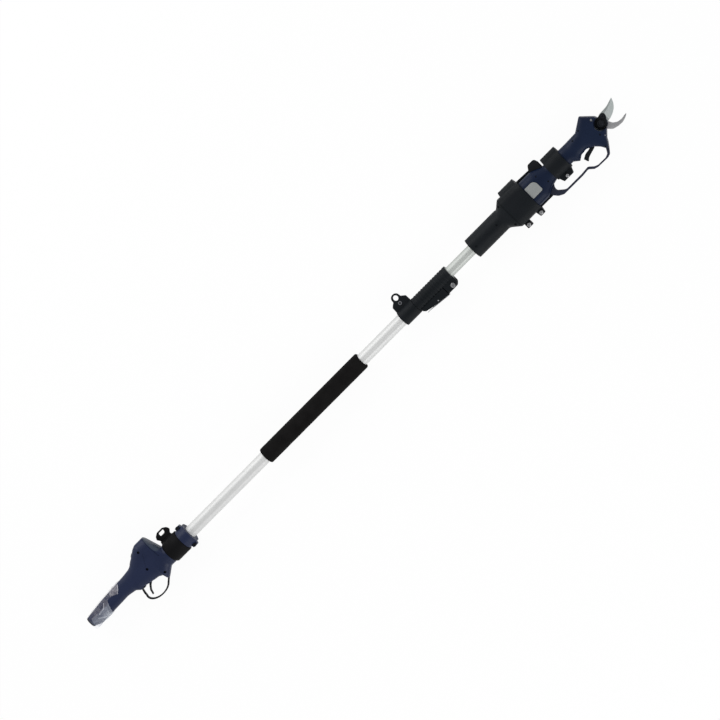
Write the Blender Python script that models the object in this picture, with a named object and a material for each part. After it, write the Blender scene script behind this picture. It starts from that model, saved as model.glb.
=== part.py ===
"""Electric pole pruner: a cordless pruner clamped in a cradle on a telescopic pole.

Units are metres. While it is modelled, the pole's axis is the X axis, towards the blades, +Y is the
spine side, where the hinges are, and +Z faces whoever looks at the pruner's display. An empty, POLE,
then lays the whole tool on its flat-backed cradle with its middle over the world's origin.
"""

import math

import bmesh
import bpy
import numpy as np
from mathutils import Matrix, Vector

# Clearances
GAP = 0.0003              # between pieces that seat on each other
PARTING = 0.0003          # between the two halves of a moulded casing
RUNNING = 0.0004          # round pins and other turning parts
CRADLE_CLEAR = 0.0010     # round the pruner inside its cradle and band
FACET = 0.00015           # extra room where round walls are faceted

# The whole tool
REAR_END = -0.8400        # rear face of the lower handle
BLADE_TIP = 0.7786        # point of the open cutting blade
HUMP_TOP = 0.0668         # highest point on the spine side
LOOP_LOW = -0.0665        # lowest point of the pruner's hand guard
AXIS_HEIGHT = 0.0330      # pole axis above the surface that the tool lies on

# Pole tubes, both with a rolled groove that stops them from turning in each other
LOWER_RADIUS = 0.0140
LOWER_WALL = 0.0012
LOWER_REAR = -0.6040
LOWER_FRONT = 0.2040
TUBE_CLEAR = 0.0006         # round the upper tube inside the lower one
UPPER_RADIUS = LOWER_RADIUS - LOWER_WALL - TUBE_CLEAR
UPPER_WALL = 0.0012
UPPER_REAR = -0.5200
UPPER_FRONT = 0.4360
PLUG_LENGTH = 0.0200
PLUG_FLANGE = 0.0080
PLUG_LEAD_WAY = 0.0060
GROOVE_DEPTH = 0.0010
GROOVE_ANGLE = math.radians(-10)
TUBE_SIDES = 36
BORE_SIDES = 24

# Foam grip
FOAM_REAR = -0.2970
FOAM_LENGTH = 0.3000
FOAM_WALL = 0.0060
FOAM_RADIUS = LOWER_RADIUS + FOAM_WALL

# Clamp between the tubes
STRAP_REAR = 0.1292
STRAP_FRONT = 0.1714
STRAP_WALL = 0.0043
STRAP_RADIUS = LOWER_RADIUS + STRAP_WALL
CLAMP_FRONT = 0.2722
STRAP_EYE_Y = STRAP_RADIUS + 0.0239
STRAP_BOLT_Y = STRAP_RADIUS + 0.0097
EYE_RADIUS = 0.0100
EYE_BORE = 0.0060
BUSH_WALL = 0.0030
BUSH_RADIUS = UPPER_RADIUS + BUSH_WALL
CLAMP_WALL = 0.0024
CLAMP_RADIUS = BUSH_RADIUS + CLAMP_WALL
CLAMP_RIBS = 14
RIB_DEPTH = 0.0008
LEVER_AXIS = (0.2600, -CLAMP_RADIUS - 0.0076)
LEVER_HALF_WIDTH = 0.0120
CAM_RADIUS = 0.0068
CAM_REACH = 0.0096
CAM_HALF_WIDTH = 0.0069

# Lower handle
HANDLE_WALL = 0.0024
END_CAP_THICKNESS = 0.0030
HANDLE_REAR = REAR_END + END_CAP_THICKNESS
FILM_LENGTH = 0.0570
FILM_FRONT = REAR_END + FILM_LENGTH
HANDLE_LEAD_WAY = 0.0110
HANDLE_CAVITY_END = -0.6100
NECK_END = -0.5370
NECK_RADIUS = 0.0227
RING_SEAT = (-0.6040, -0.5606)
RING_SEAT_RADIUS = 0.0203
COLLAR_RADIUS = 0.0240
RING_RADIUS = 0.0265
EYE_TILT = math.radians(-14)
POLE_TRIGGER_AXIS = (-0.6740, -0.0090)
TRIGGER_HALF_WIDTH = 0.0050
GUARD_WIDTH = 0.0033
HANDLE_SCREWS = [(-0.6478, 0.0490), (-0.6595, 0.0095), (-0.6365, -0.0222)]
COLLAR_SCREWS = [(-0.5492, 0.0258), (-0.5482, -0.0258)]

# The hump's rear slope, which faces the user and carries the button and the lens
HUMP_FOOT = (-0.6920, 0.0390)
HUMP_SHOULDER = (-0.6560, 0.0630)
BOARD_EXTENT = (-0.6880, -0.6360, -0.0020, 0.0330)
SLOPE_ALONG = (Vector((*HUMP_SHOULDER, 0.0)) - Vector((*HUMP_FOOT, 0.0))).normalized()
SLOPE_OUT = Vector((-SLOPE_ALONG.y, SLOPE_ALONG.x, 0.0))
BUTTON_PLACE = 0.0289     # along the slope from the hump's foot
BUTTON_RADIUS = 0.0050
BUTTON_FLANGE = 0.0062
BUTTON_RISE = 0.0012
LENS_PLACE = 0.0139
LENS_SIZE = (0.0120, 0.0140)
LENS_THICKNESS = 0.0016

# Fasteners
SCREW_HEAD = 0.0028
SCREW_HEAD_HEIGHT = 0.0020
SCREW_SHANK = 0.0014
SCREW_BOSS = 0.0038
SCREW_BITE = 0.0080
PIN_RADIUS = 0.0015

# Cradle
SOCKET_REAR = 0.3440
SOCKET_RADIUS = 0.0245
SOCKET_BORE = 0.0200
SOCKET_BORE_END = 0.4410
COVER_REAR = 0.4560
COVER_FRONT = 0.5126
TRAY_FRONT = 0.5450
COVER_HINGE = (0.4655, 0.5080)
COVER_HINGE_Y = 0.0410
COVER_KNUCKLE = 0.0050
SOCKET_SCREWS = [(0.4485, 0.0245), (0.4485, -0.0285)]
COVER_BOLTS = [(0.4668, -0.0485), (0.5035, -0.0485)]
BAND = (0.5785, 0.6190)
BAND_WALL = 0.0036
BAND_HINGE_Y = 0.0275
BAND_KNUCKLE = 0.0045
BAND_BOLT = (0.5980, -0.0327)
HINGE_PIN_RADIUS = 0.0020

# Pruner
PRUNER_REAR = 0.4580
PRUNER_FRONT = 0.7270
PRUNER_WALL = 0.0026
BLADE_AXIS = (0.7250, -0.0050)
BLADE_THICKNESS = 0.0040
BLADE_HUB = 0.0120
PIVOT_RADIUS = 0.0048
LOCK_RADIUS = 0.0135
LOCK_SCREW = (0.7385, 0.0035)
HEAD_SCREW = (0.7170, 0.0146)
PRUNER_TRIGGER_AXIS = (0.6840, -0.0205)
PRUNER_TRIGGER_HALF_WIDTH = 0.0060
BATTERY_FRONT = 0.5340
MOTOR = (0.5560, 0.6060)
GEARBOX_FRONT = 0.6500
DRIVE_CENTRE_Y = -0.0013
DRIVE_RADIUS = 0.0150
DISPLAY_FLOOR = 0.0264    # height of the seat under the display plate

# Gear that closes the blade
MODULE = 0.0015
SECTOR_TEETH_FULL = 28
SECTOR_TEETH = 6
PINION_TEETH = 10
PRESSURE_ANGLE = math.radians(25)
BACKLASH = 0.00030

# How finely outlines and casings are drawn
SLIGHT_BEND = math.radians(9)
LEAST_STEP = 0.0026
CAVITY_STEP = 0.0050

# Where each joint's empty lies in the pole's frame
PLACES = {}


def clear_scene():
    for obj in list(bpy.data.objects):
        bpy.data.objects.remove(obj, do_unlink=True)


def material(name, colour, roughness, metallic=0.0):
    made = bpy.data.materials.new(name)
    made.use_nodes = True
    shader = made.node_tree.nodes["Principled BSDF"]
    shader.inputs["Base Color"].default_value = (*colour, 1.0)
    shader.inputs["Roughness"].default_value = roughness
    shader.inputs["Metallic"].default_value = metallic
    return made


def frame_at(name, x, y, z=0.0, turn=0.0, parent=None):
    """An empty on a joint's axis, turned about X, which the moving pieces hang from."""
    holder = bpy.data.objects.new(name, None)
    bpy.context.scene.collection.objects.link(holder)
    place = Vector((x, y, z))
    holder.location = place - PLACES[parent.name] if parent else place
    holder.rotation_euler = (turn, 0.0, 0.0)
    holder.parent = parent
    PLACES[name] = place if parent else Vector()
    return holder


def piece(name, bm, finish, holder=None, bevel=0.0):
    """A named object from a bmesh made in the pole's frame, hung from its joint's empty."""
    holder = holder or bpy.data.objects["POLE"]
    bmesh.ops.translate(bm, vec=-PLACES[holder.name], verts=bm.verts)
    bmesh.ops.recalc_face_normals(bm, faces=bm.faces)
    mesh = bpy.data.meshes.new(name)
    bm.to_mesh(mesh)
    bm.free()
    mesh.materials.append(finish)
    mesh.shade_smooth()
    mesh.set_sharp_from_angle(angle=math.radians(35))
    obj = bpy.data.objects.new(name, mesh)
    bpy.context.scene.collection.objects.link(obj)
    obj.parent = holder
    if bevel:
        edge = obj.modifiers.new("edge", "BEVEL")
        edge.width = bevel
        edge.segments = 1
        edge.limit_method = "ANGLE"
        edge.angle_limit = math.radians(50)
    return obj


def tool(name, bm, holder):
    """A cutter or a body to be joined on, left out of the finished part."""
    bmesh.ops.translate(bm, vec=-PLACES[holder.name], verts=bm.verts)
    bmesh.ops.recalc_face_normals(bm, faces=bm.faces)
    mesh = bpy.data.meshes.new(name)
    bm.to_mesh(mesh)
    bm.free()
    obj = bpy.data.objects.new(name, mesh)
    bpy.context.scene.collection.objects.link(obj)
    obj.parent = holder
    obj.hide_render = True
    obj.display_type = "WIRE"
    return obj


def combine(obj, operation, bm, label):
    step = obj.modifiers.new(label, "BOOLEAN")
    step.operation = operation
    step.object = tool(f"{obj.name}.{label}", bm, obj.parent)
    return obj


def cut(obj, bm, label):
    return combine(obj, "DIFFERENCE", bm, label)


def join(obj, bm, label):
    return combine(obj, "UNION", bm, label)


def keep(obj, bm, label):
    return combine(obj, "INTERSECT", bm, label)


def rounded(corners, closed=True, step=math.radians(28)):
    """Corner points, each with an optional radius, as an outline with its corners turned to arcs."""
    points = []
    last = len(corners) - 1
    for index, corner in enumerate(corners):
        here = Vector(corner[:2])
        radius = corner[2] if len(corner) > 2 else 0.0
        if radius == 0.0 or (not closed and index in (0, last)):
            points.append(corner[:2])
            continue
        before = (Vector(corners[index - 1][:2]) - here)
        after = (Vector(corners[(index + 1) % len(corners)][:2]) - here)
        reach = min(before.length, after.length)
        before.normalize()
        after.normalize()
        opening = before.angle(after)
        if math.pi - opening < SLIGHT_BEND:
            points.append(corner[:2])
            continue
        along = min(radius / math.tan(opening / 2), reach * 0.49)
        radius = along * math.tan(opening / 2)
        centre = here + (before + after).normalized() * (radius / math.sin(opening / 2))
        start = here + before * along - centre
        sweep = math.pi - opening
        turn = 1.0 if start.cross(here + after * along - centre) > 0 else -1.0
        count = max(1, round(sweep / step))
        for part in range(count + 1):
            spoke = start.copy()
            spoke.rotate(Matrix.Rotation(turn * sweep * part / count, 2))
            points.append(tuple(centre + spoke))
    return points


def arc(cx, cy, radius, start, end, count):
    """Points on a round arc, its angles in degrees."""
    angles = [math.radians(start + (end - start) * i / count) for i in range(count + 1)]
    return [(cx + radius * math.cos(a), cy + radius * math.sin(a)) for a in angles]


def ribbon(path, width):
    """The outline of a strip of even width along an open path."""
    points = [Vector(p) for p in path]
    left, right = [], []
    for index, here in enumerate(points):
        ahead = points[min(index + 1, len(points) - 1)] - points[max(index - 1, 0)]
        side = Vector((-ahead.y, ahead.x)).normalized() * (width / 2)
        left.append(tuple(here + side))
        right.append(tuple(here - side))
    return left + right[::-1]


def add_prism(bm, outline, low, high, along="Z"):
    """An outline made solid between two levels. Along X its two coordinates are Y and Z."""
    def place(point, level):
        if along == "X":
            return (level, point[0], point[1])
        if along == "Y":
            return (point[0], level, point[1])
        return (point[0], point[1], level)
    lower = [bm.verts.new(place(p, low)) for p in outline]
    upper = [bm.verts.new(place(p, high)) for p in outline]
    bm.faces.new(lower[::-1])
    bm.faces.new(upper)
    for index in range(len(outline)):
        after = (index + 1) % len(outline)
        bm.faces.new((lower[index], lower[after], upper[after], upper[index]))
    return bm


def prism(outline, low, high, along="Z"):
    return add_prism(bmesh.new(), outline, low, high, along)


def box(x, y, z):
    """A box from three pairs of limits."""
    corners = [(x[0], y[0]), (x[1], y[0]), (x[1], y[1]), (x[0], y[1])]
    return prism(corners, z[0], z[1])


def add_turned(bm, profile, at=(0.0, 0.0, 0.0), along="Z", sides=16):
    """A profile of (radius, level) points spun round an axis, closed where it meets the axis."""
    def place(radius, level):
        if along == "X":
            return Vector((level, radius, 0.0)) + Vector(at)
        return Vector((radius, 0.0, level)) + Vector(at)
    axis = (1, 0, 0) if along == "X" else (0, 0, 1)
    loop = [bm.verts.new(place(r, level)) for r, level in profile]
    edges = [bm.edges.new((loop[i], loop[i + 1])) for i in range(len(loop) - 1)]
    if profile[0][0] > 0.0:
        edges.append(bm.edges.new((loop[-1], loop[0])))
    bmesh.ops.spin(bm, geom=loop + edges, cent=at, axis=axis, angle=2 * math.pi, steps=sides, use_merge=True)
    bmesh.ops.remove_doubles(bm, verts=bm.verts, dist=1e-6)
    return bm


def turned(profile, at=(0.0, 0.0, 0.0), along="Z", sides=16):
    return add_turned(bmesh.new(), profile, at, along, sides)


def rod(radius, low, high, at=(0.0, 0.0), along="Z", sides=16):
    """A plain cylinder: along Z at (x, y), or along X at (y, z)."""
    profile = [(0.0, low), (radius, low), (radius, high), (0.0, high)]
    centre = (0.0, at[0], at[1]) if along == "X" else (at[0], at[1], 0.0)
    return turned(profile, centre, along, sides)


def tube(inner, outer, low, high, at=(0.0, 0.0), along="X", sides=BORE_SIDES):
    profile = [(inner, low), (outer, low), (outer, high), (inner, high)]
    centre = (0.0, at[0], at[1]) if along == "X" else (at[0], at[1], 0.0)
    return turned(profile, centre, along, sides)


def posts(places, profile, sides=8):
    """The same turned shape, along Z, at each of several places."""
    bm = bmesh.new()
    for x, y in places:
        add_turned(bm, profile, (x, y, 0.0), "Z", sides)
    return bm


class Hull:
    """A casing's outer form: four outlines along X, with superellipse sections between them."""

    def __init__(self, top, bottom, half, square, steps=()):
        step = math.radians(48)
        self.lines = [np.array(rounded(line, closed=False, step=step)) for line in (top, bottom, half)]
        self.square = np.array(square)
        self.steps = steps

    def stations(self, start, end, least):
        """Where the sections go: at every bend of the outlines, but not closer than the least step."""
        bends = {x for line in self.lines for x in line[:, 0]}
        marks = sorted({x for x in bends if start < x < end} | {start, end})
        kept = []
        for mark in marks:
            near = [x for x in (*kept[-1:], *self.steps, end) if x != mark and abs(x - mark) < least]
            if not near or mark in (start, end) or mark in self.steps:
                kept.append(mark)
        return kept

    def value(self, index, x, grow):
        """An outline moved out by grow, as the edge of a disc of that size rolled along it."""
        line = self.lines[index]
        side = -1.0 if index == 1 else 1.0
        reach = np.linspace(-abs(grow), abs(grow), 9)
        heights = side * np.interp(x + reach, line[:, 0], line[:, 1])
        edge = np.sqrt(np.maximum(grow * grow - reach * reach, 0.0))
        moved = (heights + edge).max() if grow > 0 else (heights - edge).min()
        return side * moved

    def section(self, x, grow):
        top = self.value(0, x, grow)
        bottom = self.value(1, x, grow)
        half = self.value(2, x, grow)
        power = float(np.interp(x, self.square[:, 0], self.square[:, 1]))
        return top, bottom, half, power

    def skin(self, x, y, grow=0.0):
        """Height of the surface over the parting plane at a place on it."""
        top, bottom, half, power = self.section(x, grow)
        share = abs(y - (top + bottom) / 2) / ((top - bottom) / 2)
        return half * max(0.0, 1.0 - share ** power) ** (1.0 / power)


def loft(hull, start, end, grow=0.0, side=0, count=7, least=LEAST_STEP, gap=PARTING):
    """The hull's solid between two stations: whole for side 0, or the half on +Z or -Z."""
    bm = bmesh.new()
    rings = []
    steps = 2 * count if side == 0 else count + 1
    for x in hull.stations(start, end, least):
        top, bottom, half, power = hull.section(x, grow)
        ring = []
        for index in range(steps):
            angle = math.pi * index / count
            c, s = math.cos(angle), math.sin(angle)
            y = (top + bottom) / 2 + (top - bottom) / 2 * math.copysign(abs(c) ** (2 / power), c)
            z = half * math.copysign(abs(s) ** (2 / power), s)
            if side != 0:
                z = side * max(z, gap / 2)
            ring.append(bm.verts.new((x, y, z)))
        rings.append(ring)
    for first, second in zip(rings, rings[1:]):
        for index in range(steps):
            after = (index + 1) % steps
            bm.faces.new((first[index], first[after], second[after], second[index]))
    bmesh.ops.triangulate(bm, faces=bm.faces)
    bm.faces.new(rings[0])
    bm.faces.new(rings[-1])
    return bm


def shell_half(name, hull, start, end, cavity, wall, side, finish, holder=None):
    """Half of a moulded casing, hollow between two stations."""
    obj = piece(name, loft(hull, start, end, 0.0, side), finish, holder)
    return cut(obj, loft(hull, cavity[0], cavity[1], -wall, count=6, least=CAVITY_STEP), "cavity")


def add_bosses(front, back, hull, wall, places, head_depth=0.0045):
    """Screw bosses from both walls to the parting plane, with the wells and holes for the screws."""
    for number, (x, y) in enumerate(places, 1):
        skin = hull.skin(x, y)
        root = skin - 0.55 * wall
        well = skin - head_depth - SCREW_HEAD_HEIGHT
        join(front, rod(SCREW_BOSS, PARTING, root, (x, y), sides=10), f"boss_{number}")
        join(back, rod(SCREW_BOSS, -root, -PARTING, (x, y), sides=10), f"boss_{number}")
        hole = [(0.0, -0.001), (SCREW_SHANK + GAP, -0.001), (SCREW_SHANK + GAP, well),
                (SCREW_HEAD + GAP, well), (SCREW_HEAD + GAP, skin + 0.004), (0.0, skin + 0.004)]
        cut(front, turned(hole, (x, y, 0.0), sides=10), f"well_{number}")
        cut(back, rod(SCREW_SHANK + GAP, -SCREW_BITE - GAP, 0.001, (x, y), sides=10), f"hole_{number}")


def casing_screw(name, hull, x, y, finish, head_depth=0.0045, holder=None):
    """A self-tapping screw at the bottom of its well, with a hexagon socket."""
    seat = hull.skin(x, y) - head_depth - SCREW_HEAD_HEIGHT + GAP
    top = seat + SCREW_HEAD_HEIGHT
    profile = [(0.0, -SCREW_BITE), (SCREW_SHANK, -SCREW_BITE), (SCREW_SHANK, seat),
               (SCREW_HEAD, seat), (SCREW_HEAD, top), (0.0, top)]
    obj = piece(name, turned(profile, (x, y, 0.0), sides=10), finish, holder)
    return cut(obj, rod(0.0013, top - 0.0012, top + 0.001, (x, y), sides=6), "socket")


def cap_bolt(name, x, y, tip, seat, shank, head, height, finish, holder=None):
    """A bolt along Z with a round head and a hexagon socket in it."""
    top = seat + height
    edge = height * 0.2
    profile = [(0.0, tip), (shank * 0.8, tip), (shank, tip + shank * 0.3), (shank, seat), (head, seat),
               (head, top - edge), (head - edge, top), (0.0, top)]
    obj = piece(name, turned(profile, (x, y, 0.0), sides=10), finish, holder)
    return cut(obj, rod(head * 0.5, top - height * 0.6, top + 0.001, (x, y), sides=6), "socket")


# Outlines of the lower handle, from its rear end to the collar in front of the harness ring.
NECK = [(RING_SEAT[0] - 0.0026, NECK_RADIUS), (RING_SEAT[0], NECK_RADIUS),
        (RING_SEAT[0] + 0.0003, RING_SEAT_RADIUS), (RING_SEAT[1] - 0.0003, RING_SEAT_RADIUS),
        (RING_SEAT[1], COLLAR_RADIUS), (NECK_END, COLLAR_RADIUS)]
HANDLE = Hull(
    top=[(REAR_END, 0.0270), (-0.7900, 0.0324, 0.30), (-0.7150, 0.0364, 0.08), (*HUMP_FOOT, 0.03),
         (*HUMP_SHOULDER, 0.012), (-0.6470, HUMP_TOP, 0.006), (-0.6215, HUMP_TOP, 0.003),
         (-0.6085, 0.0250, 0.002)] + NECK,
    bottom=[(REAR_END, -0.0045), (-0.7900, -0.0037, 0.30), (-0.7370, -0.0022, 0.05),
            (-0.7150, -0.0060, 0.010), (-0.7060, -0.0140, 0.004), (-0.6960, -0.0128, 0.010),
            (-0.6690, -0.0180, 0.02), (-0.6560, -0.0200, 0.006), (-0.6462, -0.0256, 0.006),
            (-0.6430, -0.0385, 0.001), (-0.6200, -0.0225, 0.008)] + [(x, -r) for x, r in NECK],
    half=[(REAR_END, 0.0160), (-0.7400, 0.0170, 0.1), (-0.7000, 0.0195, 0.1), (-0.6650, 0.0215, 0.1),
          (-0.6200, 0.0222)] + NECK,
    square=[(REAR_END, 2.6), (-0.7000, 2.8), (-0.6400, 3.2), (-0.6200, 2.6), (-0.6070, 2.0)],
    steps=[x for x, _ in NECK])

# Outlines of the pruner's casing, from its battery end to the flat face behind the blades.
PRUNER = Hull(
    top=[(PRUNER_REAR, 0.0293), (0.5480, 0.0293, 0.020), (0.5740, 0.0190, 0.015), (0.6400, 0.0184),
         (0.6718, 0.0192), (0.6745, 0.0208), (0.7022, 0.0386, 0.0015), (0.7247, 0.0166, 0.003),
         (PRUNER_FRONT, 0.0125)],
    bottom=[(PRUNER_REAR, -0.0375), (0.5400, -0.0375, 0.020), (0.5620, -0.0258, 0.012),
            (0.5800, -0.0215, 0.02), (0.6270, -0.0211, 0.004), (0.6385, -0.0302, 0.0015),
            (0.6490, -0.0230, 0.004), (0.6660, -0.0215, 0.01), (0.6810, -0.0294, 0.02),
            (0.6914, -0.0400, 0.02), (0.6970, -0.0505), (0.7003, -0.0548, 0.001), (0.7090, -0.0430),
            (0.7130, -0.0355), (0.7255, -0.0225), (PRUNER_FRONT, -0.0205)],
    half=[(PRUNER_REAR, 0.0280), (0.5400, 0.0280, 0.03), (0.5720, 0.0192, 0.03), (0.6400, 0.0186, 0.1),
          (0.6720, 0.0195, 0.1), (0.6900, 0.0210, 0.1), (PRUNER_FRONT, 0.0200)],
    square=[(PRUNER_REAR, 3.2), (0.5450, 3.0), (0.5750, 2.4), (0.6450, 2.4), (0.6800, 3.6), (0.7000, 5.0),
            (PRUNER_FRONT, 6.0)])

# Outlines of the cradle: a round socket that flares out to the pruner's section.
CRADLE = Hull(
    top=[(SOCKET_REAR, SOCKET_RADIUS), (0.4335, SOCKET_RADIUS, 0.012), (0.4550, 0.0370, 0.006),
         (COVER_FRONT, 0.0350), (TRAY_FRONT, 0.0338)],
    bottom=[(SOCKET_REAR, -SOCKET_RADIUS), (0.4330, -SOCKET_RADIUS, 0.012), (0.4550, -0.0415, 0.006),
            (TRAY_FRONT, -0.0415)],
    half=[(SOCKET_REAR, SOCKET_RADIUS), (0.4300, SOCKET_RADIUS, 0.012), (0.4520, 0.0336, 0.008),
          (TRAY_FRONT, 0.0336)],
    square=[(SOCKET_REAR, 2.0), (0.4330, 2.0), (0.4560, 3.6), (TRAY_FRONT, 3.6)])


def make_tubes():
    def grooved(radius, depth):
        start = math.pi / 2 + GROOVE_ANGLE * -1
        turn = 2 * math.pi / TUBE_SIDES
        reach = [radius - depth] + [radius] * (TUBE_SIDES - 1)
        return [(r * math.cos(start + i * turn), r * math.sin(start + i * turn)) for i, r in enumerate(reach)]

    def drawn(name, radius, wall, depth, rear, front, holder=None):
        obj = piece(name, prism(grooved(radius, depth), rear, front, "X"), ALUMINIUM, holder)
        inner = grooved(radius - wall, depth)
        return cut(obj, prism(inner, rear - 0.001, front + 0.001, "X"), "inside")

    upper_depth = GROOVE_DEPTH + FACET
    drawn("lower_tube", LOWER_RADIUS, LOWER_WALL, GROOVE_DEPTH, LOWER_REAR, LOWER_FRONT)
    drawn("upper_tube", UPPER_RADIUS, UPPER_WALL, upper_depth, UPPER_REAR, UPPER_FRONT, SLIDE)

    # Plug in the upper tube's rear end, whose flange runs in the lower tube
    flange = LOWER_RADIUS - LOWER_WALL - GAP
    plug = UPPER_RADIUS - UPPER_WALL - GAP
    bush = piece("guide_bush", prism(grooved(flange, GROOVE_DEPTH + FACET), UPPER_REAR - PLUG_FLANGE,
                                     UPPER_REAR - GAP, "X"), BLACK_PLASTIC, SLIDE)
    plug_end = UPPER_REAR + PLUG_LENGTH
    join(bush, prism(grooved(plug, upper_depth + FACET), UPPER_REAR - 0.001, plug_end, "X"), "plug")
    lead_way = rod(PLUG_LEAD_WAY, UPPER_REAR - PLUG_FLANGE - 0.002, plug_end + 0.002, along="X")
    cut(bush, lead_way, "lead_way")

    piece("foam_grip", tube(LOWER_RADIUS + GAP, FOAM_RADIUS, FOAM_REAR, FOAM_REAR + FOAM_LENGTH), FOAM)


def make_strap_ring():
    """Split ring round the lower tube, whose two ears make the eye plate for a shoulder strap."""
    middle = (STRAP_REAR + STRAP_FRONT) / 2
    eye = (middle + 0.0004, STRAP_EYE_Y)
    bolt = (middle, STRAP_BOLT_Y)
    ring = piece("strap_ring", tube(LOWER_RADIUS + GAP, STRAP_RADIUS, STRAP_REAR, STRAP_FRONT), BLACK_PLASTIC)
    waist = (EYE_RADIUS + 0.0006, STRAP_EYE_Y - 0.0037)
    foot, hip, shoulder = [STRAP_RADIUS + rise for rise in (-0.0028, 0.0132, 0.0177)]
    ears = rounded([(STRAP_FRONT - 0.0005, foot), (STRAP_FRONT - 0.0012, hip, 0.003),
                    (STRAP_FRONT - 0.0068, shoulder, 0.003), (eye[0] + waist[0], waist[1], 0.003)])
    ears += arc(*eye, EYE_RADIUS, 0, 180, 10)
    ears += rounded([(eye[0] - waist[0], waist[1], 0.003), (STRAP_REAR + 0.0068, shoulder, 0.003),
                     (STRAP_REAR + 0.0016, hip, 0.003), (STRAP_REAR + 0.0008, foot)])
    join(ring, prism(ears, -0.0040, 0.0040), "ears")
    cut(ring, box((STRAP_REAR - 0.001, STRAP_FRONT + 0.001), (STRAP_RADIUS - 0.0083, STRAP_EYE_Y + 0.0133),
                  (-0.0006, 0.0006)), "split")
    bridge_y = (eye[1] + EYE_BORE + 0.0006, eye[1] + EYE_RADIUS - 0.0014)
    join(ring, box((eye[0] - 0.0030, eye[0] + 0.0030), bridge_y, (-0.0010, 0.0010)), "bridge")
    cut(ring, rod(EYE_BORE, -0.006, 0.006, eye, sides=16), "eye")
    cut(ring, rod(0.0024 + GAP, -0.006, 0.006, bolt, sides=12), "bolt_hole")
    head = 0.0040 + GAP
    rivet = [(0.0013, -head - 0.001), (0.0042, -head - 0.001), (0.0042, -head), (0.0024, -head),
             (0.0024, head), (0.0044, head), (0.0040, head + 0.0012), (0.0013, head + 0.0012)]
    piece("strap_bolt", turned(rivet, (*bolt, 0.0), sides=12), STEEL)


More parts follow.
